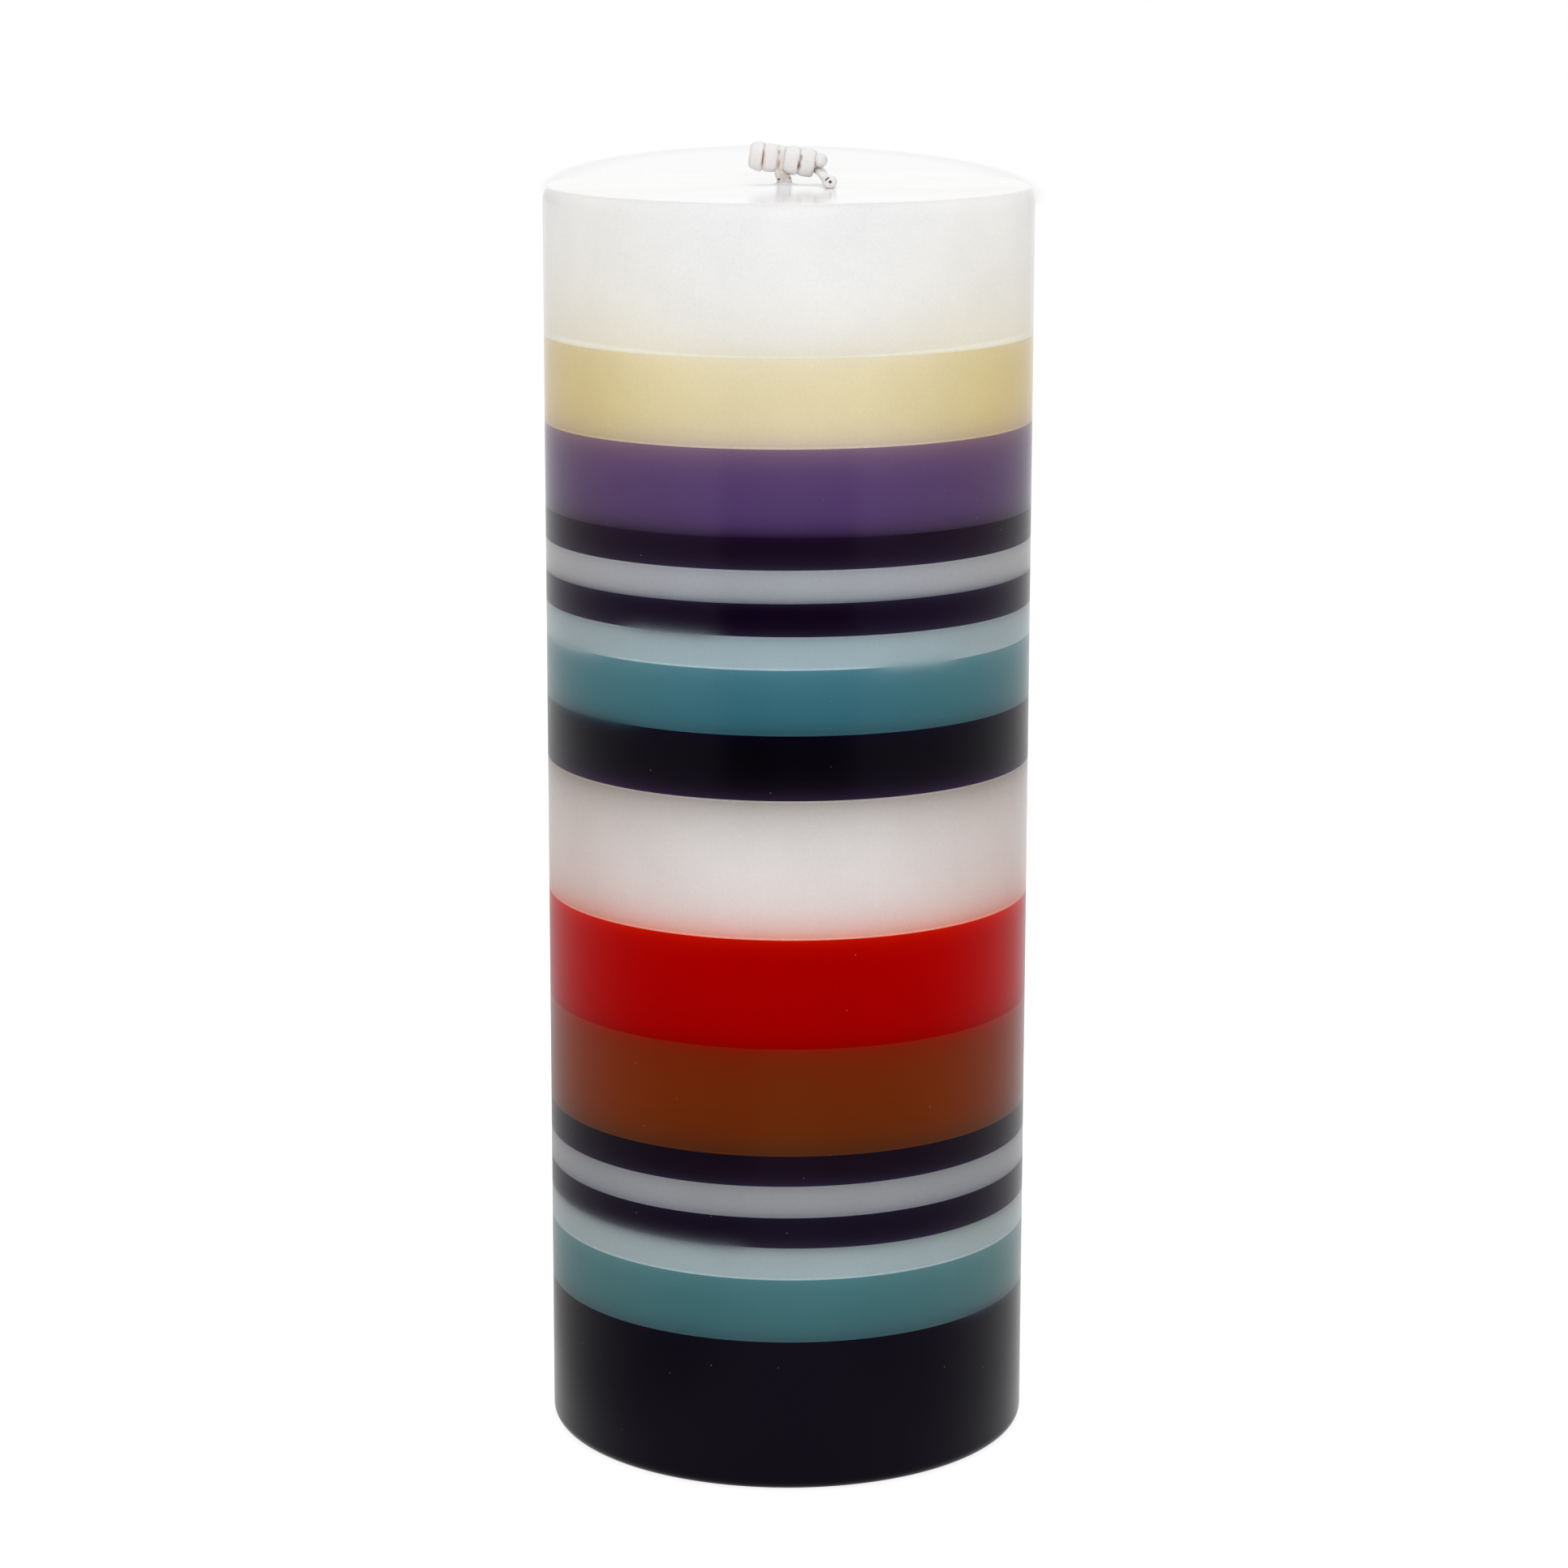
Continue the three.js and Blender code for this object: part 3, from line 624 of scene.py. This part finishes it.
# painted light and shade: each pour's tint for the flanks deepens or lightens its colour where the wall turns
# away from the front, its edge tint is a painted highlight towards the left and right sides, and the climb
# lets the bleed from below reach higher on the flanks
pours = [  # from the base up. Body colour, then at the top and bottom edges with the reach of each bleed
    {"node": "base_layer_black", "slot": "wax_black", "body": (16, 13, 20),
     "top": (15, 15, 23, 1.0), "bottom": (17, 14, 20, 3.0), "specks": 0.05,
     "join": {"lift": 0.10, "tilt": -0.07, "line": ("above", 0.35, -38, 38), "soft": [(28, 38)]}},
    {"node": "lower_layer_teal", "slot": "wax_teal", "body": (54, 101, 106),
     "top": (70, 116, 121, 2.4), "bottom": (44, 73, 81, 1.9), "specks": 0.03, "flank": (1.5, 1.14, 1.1),
     "join": {"lift": 0.15, "tilt": -0.16, "line": ("above", 0.5, -38, 38), "soft": []}},
    {"node": "lower_layer_pale_blue", "slot": "wax_pale_blue", "body": (155, 169, 174),
     "top": (108, 117, 120, 1.1), "bottom": (150, 169, 175, 1.2), "specks": 0.03, "flank": (0.98, 0.95, 0.91),
     "join": {"lift": 0.05, "tilt": -0.32, "line": ("below", 0.35, -2, 38), "soft": [(-38, -7)]}},
    {"node": "lower_layer_black", "slot": "wax_black", "body": (21, 16, 27),
     "top": (27, 22, 37, 0.9), "bottom": (42, 38, 55, 0.8), "specks": 0.05,
     "join": {"lift": -0.10, "tilt": 0.08, "line": ("above", 0.6, -30, 26), "soft": []}},
    {"node": "lower_layer_grey", "slot": "wax_grey", "body": (145, 146, 150),
     "top": (116, 118, 120, 0.8), "bottom": (102, 104, 113, 0.9), "specks": 0.03,
     "join": {"lift": -0.05, "tilt": 0.19, "line": ("below", 0.35, -32, 38), "soft": []}},
    {"node": "lower_layer_upper_black", "slot": "wax_black", "body": (22, 15, 23),
     "top": (21, 13, 22, 1.0), "bottom": (38, 34, 50, 0.8), "specks": 0.05,
     "join": {"lift": 0, "tilt": 0, "line": ("above", 0.3, -38, 38), "soft": []}},
    {"node": "middle_layer_brown", "slot": "wax_brown", "body": (101, 35, 8),
     "top": (115, 21, 0, 3.2), "bottom": (70, 33, 24, 3.0), "specks": 0.06,
     "flank": (1.33, 1.4, 1.3), "edge": (1.35, 1.05, 0.9),
     "join": {"lift": 0, "tilt": -0.07, "line": ("above", 0, 0, 0), "soft": [(-38, 38)]}},
    {"node": "middle_layer_red", "slot": "wax_red", "body": (161, 0, 0),
     "top": (188, 26, 4, 1.3), "bottom": (140, 0, 0, 4.0), "specks": 0.08,
     "flank": (1.18, 1, 1), "edge": (1.25, 1, 1),
     "join": {"lift": 0.10, "tilt": -0.10, "line": ("above", 0.75, -38, 38), "soft": []}},
    {"node": "middle_layer_white", "slot": "wax_warm_white", "body": (222, 218, 217),
     "top": (150, 144, 139, 4.0), "bottom": (216, 138, 122, 3.2), "specks": 0.02, "flank": (0.94, 0.87, 0.84),
     "join": {"lift": -0.05, "tilt": -0.06, "line": ("below", 0.6, -38, 38), "soft": []}},
    {"node": "upper_layer_lower_black", "slot": "wax_black", "body": (10, 5, 17),
     "top": (9, 13, 27, 1.0), "bottom": (41, 33, 51, 1.1), "specks": 0.05, "flank": (1.6, 1.4, 1.5),
     "join": {"lift": -0.10, "tilt": -0.04, "line": ("above", 0.45, -20, 22), "soft": [(-38, -24)]}},
    {"node": "upper_layer_teal", "slot": "wax_teal", "body": (48, 101, 115),
     "top": (72, 121, 134, 2.4), "bottom": (37, 72, 83, 1.8), "specks": 0.04, "flank": (1.5, 1.15, 1.02),
     "join": {"lift": -0.10, "tilt": 0.05, "line": ("above", 0.55, -28, 14), "soft": [(-38, -30), (14, 25)]}},
    {"node": "upper_layer_pale_blue", "slot": "wax_pale_blue", "body": (153, 170, 178),
     "top": (118, 130, 136, 0.9), "bottom": (153, 175, 183, 1.4), "specks": 0.03, "flank": (0.98, 0.94, 0.9),
     "join": {"lift": 0, "tilt": -0.05, "line": ("below", 0.5, -34, 38), "soft": [(-24, -11)]}},
    {"node": "upper_layer_black", "slot": "wax_black", "body": (22, 16, 28),
     "top": (32, 30, 46, 0.6), "bottom": (38, 35, 52, 0.8), "specks": 0.05, "flank": (1.6, 1.5, 1.4),
     "join": {"lift": 0, "tilt": 0.14, "line": ("above", 0.6, -20, 12), "soft": []}},
    {"node": "upper_layer_grey", "slot": "wax_grey", "body": (159, 162, 169),
     "top": (130, 134, 142, 0.7), "bottom": (88, 93, 104, 0.9), "specks": 0.03, "flank": (1.11, 1.06, 1),
     "join": {"lift": 0.05, "tilt": 0.12, "line": ("below", 0.5, -38, 38), "soft": []}},
    {"node": "upper_layer_upper_black", "slot": "wax_black", "body": (27, 20, 31),
     "top": (29, 18, 36, 0.7), "bottom": (44, 39, 57, 0.9), "specks": 0.07, "flank": (1.2, 1.1, 1),
     "join": {"lift": -0.10, "tilt": 0, "line": ("above", 0, 0, 0), "soft": [(-38, 17)]}},
    {"node": "top_layer_purple", "slot": "wax_purple", "body": (80, 57, 104),
     "top": (122, 98, 118, 2.0), "bottom": (40, 26, 50, 1.7), "specks": 0.08, "flank": (1.08, 1, 0.9),
     "join": {"lift": 0.15, "tilt": 0.13, "line": ("above", 0.5, -38, 38), "soft": []}},
    {"node": "top_layer_cream", "slot": "wax_cream", "body": (223, 210, 167),
     "top": (230, 220, 190, 3.6), "bottom": (186, 170, 158, 2.4), "specks": 0.03,
     "flank": (0.95, 0.88, 0.67), "edge": (1.15, 1.08, 1.15),
     "join": {"lift": 0.10, "tilt": 0.11, "line": ("above", 0.3, -38, 38), "soft": []}},
    {"node": "top_layer_white", "slot": "wax_white", "body": (236, 236, 236),
     # painted light: with no pour above, the top tint makes the white wall lighter towards the lid
     "top": (242, 242, 243, 2.5), "bottom": (225, 219, 200, 4.4), "specks": 0.02,
     "flank": (1.12, 1.12, 1.12), "edge": (1.15, 1.14, 1.16), "climb": 2,
     "join": {"lift": 0, "tilt": 0, "line": ("below", 0, 0, 0), "soft": []}},
]


def dye(color):  # what the wax itself sends back, without the gloss on it
    return [max(value - body["glossLift"], 0) for value in paint(*color)[:3]] + [1]


def bledEdge(graph, pour, side, neighbour, away, x, ragged, color):  # towards the pour above or below
    join = pour["joinAbove"] if side == "top" else pour["joinBelow"]
    red, green, blue, reach = pour[side]
    # on the top pour, with no pour above, this top tint is painted light, lighter towards the lid; elsewhere
    # it is the bleed
    bleed = graph.fade(away * (0.85 + ragged * 0.3), reach)
    color = graph.mix(bleed, color, dye((red, green, blue)))
    if join is None:
        return color
    lineSide, strength, lineFrom, lineTo = join["line"]
    if strength and (lineSide == "below") == (side == "top"):
        pale = dye([min(value * 1.16 + 8, 255) for value in (red, green, blue)])
        off = graph.sum("ABSOLUTE", away - bleeding["lineAt"])
        soft = bleeding["lineFade"]
        along = graph.between(x, lineFrom + soft, lineTo - soft, soft)
        broken = graph.ease(ragged, 0.3, 0.6) * 0.6 + 0.4
        line = (1 - graph.ease(off, *bleeding["lineHalf"])) * along * broken
        color = graph.mix(line * strength, color, pale)
    for softFrom, softTo in join["soft"]:
        window = graph.between(x, softFrom, softTo, bleeding["spillFade"])
        spill = graph.fade(away, bleeding["spill"]) * window * 0.5
        met = neighbour["bottom" if side == "top" else "top"]
        color = graph.mix(spill, color, dye(met[:3]))
    return color


def paintSidesLight(graph, pour, color, side, flank, onWall):  # deeper or paler where the wall turns away
    # painted light and shade: the tint for the flanks where the wall turns away, and a painted highlight
    # towards the left and right sides
    edge = graph.sum("POWER", graph.wave(side), 8)
    for share, tint in ((flank, pour.get("flank", (1, 1, 1))), (edge, pour.get("edge", (1.04, 1.02, 1)))):
        color = graph.mix(share * onWall, color, graph.vector("MULTIPLY", color, tint))
    return color


def pouredWax(pour, below, above):
    material, graph = newMaterial(pour["node"] + "_wax")
    place = graph.place()
    x, y, z = graph.split(place)
    lean = x / body["radius"]
    side = graph.sum("ARCTAN2", x, 0 - y)
    # painted light and shade: how much of the tint for the flanks and of the climb each place gets, most at
    # 60 degrees either side of the front and threefold round the wall
    flank = graph.sum("POWER", 0.5 - graph.sum("COSINE", side * 3) * 0.5, 1.5)
    rise = (z - lean * pour["bottomTilt"] - pour["floor"]) / (1 + flank * pour.get("climb", 0))
    depth = lean * pour["topTilt"] + pour["lid"] - z
    clouds = graph.noise(place, waxFinish["clouds"], 3, 0.55)
    grain = graph.noise(place, waxFinish["grain"], 3, 0.7)
    ragged = graph.noise(graph.vector("MULTIPLY", place, (1, 1, 3)), 0.9, 3, 0.65)
    wander = (ragged - 0.5) * bleeding["wander"]
    color = bledEdge(graph, pour, "top", above, depth + wander, x, ragged, dye(pour["body"]))
    color = bledEdge(graph, pour, "bottom", below, rise + wander, x, ragged, color)
    onWall = graph.ease(depth, 0.02, 0.08) if above is None else 1
    color = paintSidesLight(graph, pour, color, side, flank, onWall)
    if above is None:  # the near rim sends back less light than the face it rounds off
        # painted shade: the near rim's colour is darkened, most at the lid and fading down the rounding
        rim = (graph.fade(depth, 1.1) * 0.12 + graph.fade(depth, 0.3) * 0.12) * graph.ease(0 - y, -25, -5)
        color = graph.scale(color, 1 - rim * onWall)
    mottled = waxFinish["mottled"]
    color = graph.scale(color, 1 + (clouds - 0.5) * mottled + (grain - 0.5) * mottled)
    dust = graph.specks(place, waxFinish["speckSpacing"], waxFinish["speckSize"], pour["specks"])
    color = graph.mix(dust * waxFinish["speckShow"], color, waxFinish["speckColor"])
    streaks = graph.noise(graph.vector("MULTIPLY", place, (0.03, 0.03, 5)), 1, 2)
    polish = waxFinish["polish"] + (clouds - 0.5) * waxFinish["cloudyPolish"]
    polish = polish + (streaks - 0.5) * waxFinish["streakyPolish"]
    waves = clouds * 0.5 + graph.noise(place, waxFinish["ripples"], 2) * 0.12 + grain * 0.006
    if above is None:  # the top face set level and smooth
        flat = graph.ease(z, pour["lid"] - 2.4, pour["lid"] - 0.1)
        polish = polish - flat * waxFinish["levelPolish"]
        waves = waves * (1 - flat * 0.95)
    finishMaterial(graph, {
        "Base Color": color, "Roughness": polish, "Normal": graph.bump(waves, 0.3, 0.0002),
        "IOR": gloss[pour["slot"]], "Specular Tint": glossTint.get(pour["slot"], (1, 1, 1, 1)),
    })
    return material


def turnedShape():  # a closed outline of radius and height, turned about the candle's axis
    tree, graph, given = newShape("turned", {
        "Rows": "Int", "Around": "Int", "Radius": "Float", "Bottom": "Float", "Top": "Float",
        "Bottom Tilt": "Float", "Top Tilt": "Float", "Wick X": "Float", "Finish": "Material",
    })
    rows = given["Rows"]
    grid = gridOf(graph, given["Around"] + 1, rows)
    column, row = gridPlaces(graph, rows)
    angle = column / given["Around"] * math.tau
    reach, none, height = graph.split(sampled(graph, given["Geometry"], "FLOAT_VECTOR", "position", row))
    near = 1 - graph.ease(reach, body["shiftFrom"] * millimetre, body["shiftTo"] * millimetre)
    x = reach * graph.sum("COSINE", angle) + near * given["Wick X"]
    y = reach * graph.sum("SINE", angle)
    sockets = {"Value": height, "From Min": given["Bottom"], "From Max": given["Top"],
               "To Min": given["Bottom Tilt"], "To Max": given["Top Tilt"]}
    tilt = graph.add("ShaderNodeMapRange", {}, sockets)
    z = height + tilt * x / given["Radius"]
    place = graph.add("ShaderNodeCombineXYZ", {}, {"X": x, "Y": y, "Z": z})
    mesh = graph.add("GeometryNodeSetPosition", {}, {"Geometry": grid, "Position": place})
    mesh = closeAndSmooth(graph, mesh, 32)
    finishShape(graph, mesh, given["Finish"])
    return tree


def quarter(steps):
    return [math.pi / 2 * i / steps for i in range(steps + 1)]


def underside(floor):  # from the bore out to the foot of the wall
    inner = [(body["bore"], floor)]
    if floor == 0:
        inner = [
            (body["bore"], body["neckDepth"]), (body["neckRadius"], body["neckDepth"]),
            (body["neckRadius"], body["recessDepth"]), (body["recessRadius"], body["recessDepth"]),
            (body["recessRadius"], 0),
        ]
        inset, low = body["radius"] - body["footRound"], body["footRound"]
        foot = [(inset + low * math.sin(a), low - low * math.cos(a)) for a in quarter(body["footSteps"])]
        return inner + foot + [(body["radius"], low + body["wallRing"])]
    return inner + [(body["radius"], floor)]


def upperSide(lid, isTop):  # from the head of the wall in to the bore
    if not isTop:
        return [(body["radius"], lid), (body["bore"], lid)]
    reach, drop = body["rimReach"], body["rimDrop"]
    rim = [(body["radius"] - reach + reach * math.cos(a), lid - drop + drop * math.sin(a))
           for a in quarter(body["rimSteps"])]
    wall = (body["radius"], lid - drop - body["wallRing"])
    face = (body["radius"] - reach - body["faceRing"], lid)
    collar = []  # the wax climbs a little up the wick
    for i in range(body["collarSteps"] + 1):
        away = body["collarSpan"] * (1 - i / body["collarSteps"]) ** 2
        climb = body["collarHeight"] * math.exp(-away / body["collarReach"])
        collar.append((body["bore"] + away, lid + climb))
    return [wall] + rim + [face] + collar


def outlineMesh(name, outline):
    mesh = bpy.data.meshes.new(name)
    closed = outline + outline[:1]
    mesh.from_pydata([(reach * millimetre, 0, height * millimetre) for reach, height in closed], [], [])
    return mesh


def pourLayers(tree):
    for i, pour in enumerate(pours):
        low, high = [corner.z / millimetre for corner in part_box(pour["node"])]
        under = pours[i - 1] if i else None
        over = pours[i + 1] if i + 1 < len(pours) else None
        pour["joinBelow"] = under and under["join"]
        pour["joinAbove"] = pour["join"] if over else None
        pour["floor"] = round(low, 3) + (under["join"]["lift"] if under else 0)
        pour["lid"] = round(high, 3) + pour["join"]["lift"]
        pour["bottomTilt"] = under["join"]["tilt"] if under else 0
        pour["topTilt"] = pour["join"]["tilt"]
        outline = underside(pour["floor"]) + upperSide(pour["lid"], over is None)
        values = {
            "Rows": len(outline) + 1, "Around": body["around"], "Radius": body["radius"] * millimetre,
            "Bottom": pour["floor"] * millimetre, "Top": pour["lid"] * millimetre,
            "Bottom Tilt": pour["bottomTilt"] * millimetre, "Top Tilt": pour["topTilt"] * millimetre,
            "Wick X": wickRoute["x"] * millimetre, "Finish": pouredWax(pour, under, over),
        }
        piece = growPiece(pour["node"] + "_cast", outlineMesh(pour["node"], outline), tree, values)
        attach(piece, "root")
        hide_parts(pour["node"])
    print("wax poured:", len(pours), "layers")


turned = turnedShape()
pourLayers(turned)


# foot of the wick

sustainer = {  # millimetres, from the base
    "lift": 0.5, "radius": 10, "sheet": 0.3, "rimRound": 0.2, "lip": 0.6, "lipRound": 0.15,
    "neckBore": 1.15, "neckWall": 0.35, "neckHeight": 4, "fillet": 0.5, "crimp": 0.12, "around": 120,
}


def tinplate():  # rolled tin, drawn in rings, with a film of wax in places
    material, graph = newMaterial("tinplate")
    place = graph.vector("SUBTRACT", graph.place(), (wickRoute["x"], 0, 0))
    x, y, z = graph.split(place)
    reach = graph.sum("SQRT", x * x + y * y)
    rings = graph.noise(graph.add("ShaderNodeCombineXYZ", {}, {"X": reach * 5, "Y": z * 5}), 1, 3)
    film = graph.ease(graph.noise(place, 0.4, 3), 0.5, 0.62)
    dull = graph.noise(place, 1.5, 4)
    tin = graph.mix(dull, paint(176, 178, 181), paint(208, 209, 210))
    finishMaterial(graph, {
        "Base Color": graph.mix(film * 0.7, tin, paint(92, 88, 94)), "Metallic": 1 - film * 0.8,
        "Roughness": 0.28 + rings * 0.15 + film * 0.1, "Normal": graph.bump(rings, 0.2, 0.00005),
    })
    return material


def sustainerOutline():  # the disc, its turned-up lip, and the neck crimped on the braid
    low, high = sustainer["lift"], sustainer["lift"] + sustainer["sheet"]
    bore, neck = sustainer["neckBore"], sustainer["neckBore"] + sustainer["neckWall"]
    edge, corner = sustainer["radius"] - sustainer["rimRound"], sustainer["rimRound"]
    lip, half = sustainer["radius"] - sustainer["sheet"], sustainer["lipRound"]
    lipTop, fillet = low + sustainer["lip"] - half, sustainer["fillet"]
    outline = [(bore, low)]
    outline += [(edge + corner * math.sin(a), low + corner - corner * math.cos(a)) for a in quarter(5)]
    outline += [(lip + half + half * math.cos(2 * a), lipTop + half * math.sin(2 * a)) for a in quarter(6)]
    outline += [(lip, high), (neck + fillet, high)]
    outline += [(neck + fillet * (1 - math.sin(a)), high + fillet * (1 - math.cos(a))) for a in quarter(6)]
    for i in range(9):  # two crimped grooves round the neck
        share = i / 8
        height = high + fillet + (sustainer["neckHeight"] - fillet - sustainer["sheet"]) * share
        outline.append((neck - sustainer["crimp"] * math.sin(share * math.tau) ** 2, height))
    return outline + [(bore, low + sustainer["neckHeight"])]


def makeSustainer(tree):
    outline = sustainerOutline()
    values = {
        "Rows": len(outline) + 1, "Around": sustainer["around"], "Radius": sustainer["radius"] * millimetre,
        "Bottom": 0, "Top": sustainer["neckHeight"] * millimetre,
        "Wick X": wickRoute["x"] * millimetre, "Finish": tinplate(),
    }
    piece = growPiece("wick_foot_tab", outlineMesh("wick_foot_tab", outline), tree, values)
    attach(piece, "root")
    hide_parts("wick_sustainer")


def castCotton():  # the stretch of braid inside the wax, soaked through
    material, graph = newMaterial("cast_cotton")
    place = graph.place()
    x, y, z = graph.split(place)
    plait = graph.wave(z * 1.85 + y * 2) + graph.wave(z * 1.85 - y * 2)
    fibres = graph.noise(graph.vector("MULTIPLY", place, (3, 3, 1)), 2.5, 4)
    finishMaterial(graph, {
        "Base Color": graph.mix(fibres, paint(236, 233, 226), paint(214, 206, 194)),
        "Roughness": 0.5 + fibres * 0.15, "Normal": graph.bump(plait + fibres, 0.4, 0.0001),
    })
    return material


makeSustainer(turned)
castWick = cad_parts["wick"]  # keeps its solid's own shape
castWick.data.materials.clear()
castWick.data.materials.append(castCotton())
print("wick's foot made")


# floor, room and lamps

studio = {  # metres
    "floorSize": 8, "floorTone": 0.65, "floorGlow": 0.84, "shadowTone": 0.3,
    "room": 0.65, "leftTone": 0.52, "rightTone": 0.68,
    "gapDistance": 0.52, "gapHalfWidth": 0.31, "gapHeight": 0.4, "gapTone": 0.05,
    "lamps": [  # place, size, and power in watts
        ((0.03, -1.0, 0.3), 0.8, 4.9), ((0, 0.15, 1.1), 0.7, 3.2),
    ],
    "floorSides": {  # how much dimmer the gloss shows the floor
        "leftNear": 0.48, "leftFar": 0.2, "right": 0.25, "from": (0.03, 0.07), "nearToFar": (0.1, 0.45),
        "behindSlope": 2.2, "behindFade": 0.4,
    },
    # painted shade: a darker round area on the floor far behind, with a darker ring at its edge
    "farPatch": {  # a faint round area far behind, that meets the candle's top edge in the picture
        "x": 0.0006, "y": 2.698, "halfX": 0.1965, "halfY": 0.4825, "slope": 0.17,
        "drop": 0.076, "edge": (0.94, 1.02), "rimDrop": 0.045, "rim": (0.8, 0.95),
    },
}


def seenRays(graph):  # what the camera, a mirror or glass sees, and what a mirror alone sees
    rays = graph.add("ShaderNodeLightPath", {}, {})
    seen = rays["Is Camera Ray"] + rays["Is Glossy Ray"] + rays["Is Transmission Ray"]
    return graph.sum("MINIMUM", seen, 1), rays["Is Glossy Ray"]


def flatPanel(name, corners, material):
    mesh = bpy.data.meshes.new(name)
    mesh.from_pydata(corners, [], [(0, 1, 2, 3)])
    mesh.materials.append(material)
    panel = bpy.data.objects.new(name, mesh)
    bpy.context.scene.collection.objects.link(panel)
    return panel


def glowWithPaintedShade(graph, rightward, farther):  # even, but for the far patch
    # painted shade: the glow drops inside the far patch, and more at its ring
    patch = studio["farPatch"]
    across = (rightward - patch["x"]) / patch["halfX"]
    back = (farther - patch["y"] + rightward * patch["slope"]) / patch["halfY"]
    away = graph.sum("SQRT", across * across + back * back)
    inside = 1 - graph.ease(away, *patch["edge"])
    rim = inside * graph.ease(away, *patch["rim"])
    return studio["floorGlow"] - inside * patch["drop"] - rim * patch["rimDrop"]


def sideDimming(graph, rightward, farther):  # beside the candle, but not behind it
    sides, leftward = studio["floorSides"], 0 - rightward
    near, far = sides["leftNear"], sides["leftFar"]
    right = graph.ease(rightward, *sides["from"]) * sides["right"]
    left = near - graph.ease(leftward, *sides["nearToFar"]) * (near - far)
    dimmed = right + graph.ease(leftward, *sides["from"]) * left
    behind = farther - graph.sum("ABSOLUTE", rightward) * sides["behindSlope"]
    return dimmed * (1 - graph.ease(behind, 0, sides["behindFade"]))


def makeFloor():  # white to the camera, with a share of real shadow, and pale to the light it sends back
    material, graph = newMaterial("floor_paper")
    rightward, farther, none = graph.split(graph.add("ShaderNodeTexCoord", {}, {})["Object"])
    seen, inGloss = seenRays(graph)
    tone = glowWithPaintedShade(graph, rightward, farther)
    tone = tone * (1 - inGloss * sideDimming(graph, rightward, farther))
    color = graph.add("ShaderNodeCombineColor", {}, {0: tone, 1: tone, 2: tone})
    glow = graph.add("ShaderNodeEmission", {}, {"Color": color})
    shaded = graph.add("ShaderNodeBsdfDiffuse", {}, {"Color": [studio["shadowTone"]] * 3 + [1]})
    lit = graph.add("ShaderNodeAddShader", {}, {0: shaded, 1: glow})
    pale = graph.add("ShaderNodeBsdfDiffuse", {}, {"Color": [studio["floorTone"]] * 3 + [1]})
    shown = graph.add("ShaderNodeMixShader", {}, {0: seen, 1: pale, 2: lit})
    graph.add("ShaderNodeOutputMaterial", {}, {"Surface": shown})
    half = studio["floorSize"] / 2
    flatPanel("floor", [(-half, -half, 0), (half, -half, 0), (half, half, 0), (-half, half, 0)], material)


def makeCameraGap():  # the dark gap in the white tent that the camera looks through, seen only in the gloss
    material, graph = newMaterial("tent_gap")
    glow = graph.add("ShaderNodeEmission", {}, {"Color": (1, 1, 1, 1), "Strength": studio["gapTone"]})
    graph.add("ShaderNodeOutputMaterial", {}, {"Surface": glow})
    half, away, height = studio["gapHalfWidth"], -studio["gapDistance"], studio["gapHeight"]
    low = 0.002
    corners = [(-half, away, low), (half, away, low), (half, away, height), (-half, away, height)]
    gap = flatPanel("tent_gap", corners, material)
    gap.visible_camera = gap.visible_diffuse = gap.visible_transmission = gap.visible_shadow = False


def makeRoom():  # a white tent, whose sides are less bright than the rest in the gloss
    world = bpy.data.worlds.new("white_tent")
    world.use_nodes = True
    world.node_tree.nodes.clear()
    graph = Graph(world.node_tree)
    looking = graph.add("ShaderNodeTexCoord", {}, {})["Generated"]
    rightward = graph.split(looking)[0]
    right = graph.ease(rightward, 0.15, 0.55) * (1 - studio["rightTone"])
    left = graph.ease(0 - rightward, 0.1, 0.5) * (1 - studio["leftTone"])
    seen, inGloss = seenRays(graph)
    strength = studio["room"] + seen * (1 - studio["room"]) - inGloss * (right + left)
    tent = graph.add("ShaderNodeBackground", {}, {"Color": (1, 1, 1, 1), "Strength": strength})
    graph.add("ShaderNodeOutputWorld", {}, {"Surface": tent})
    bpy.context.scene.world = world


def makeLamps():
    aim = Vector((0, 0, 0.1))
    for number, (place, size, power) in enumerate(studio["lamps"]):
        data = bpy.data.lights.new(f"soft_lamp_{number}", "AREA")
        data.size = size
        data.energy = power
        lamp = bpy.data.objects.new(data.name, data)
        lamp.location = place
        lamp.rotation_euler = (aim - Vector(place)).to_track_quat("-Z", "Y").to_euler()
        lamp.visible_glossy = False
        bpy.context.scene.collection.objects.link(lamp)


makeFloor()
makeCameraGap()
makeRoom()
makeLamps()
bpy.context.scene.view_settings.view_transform = "Standard"
print("studio lit")
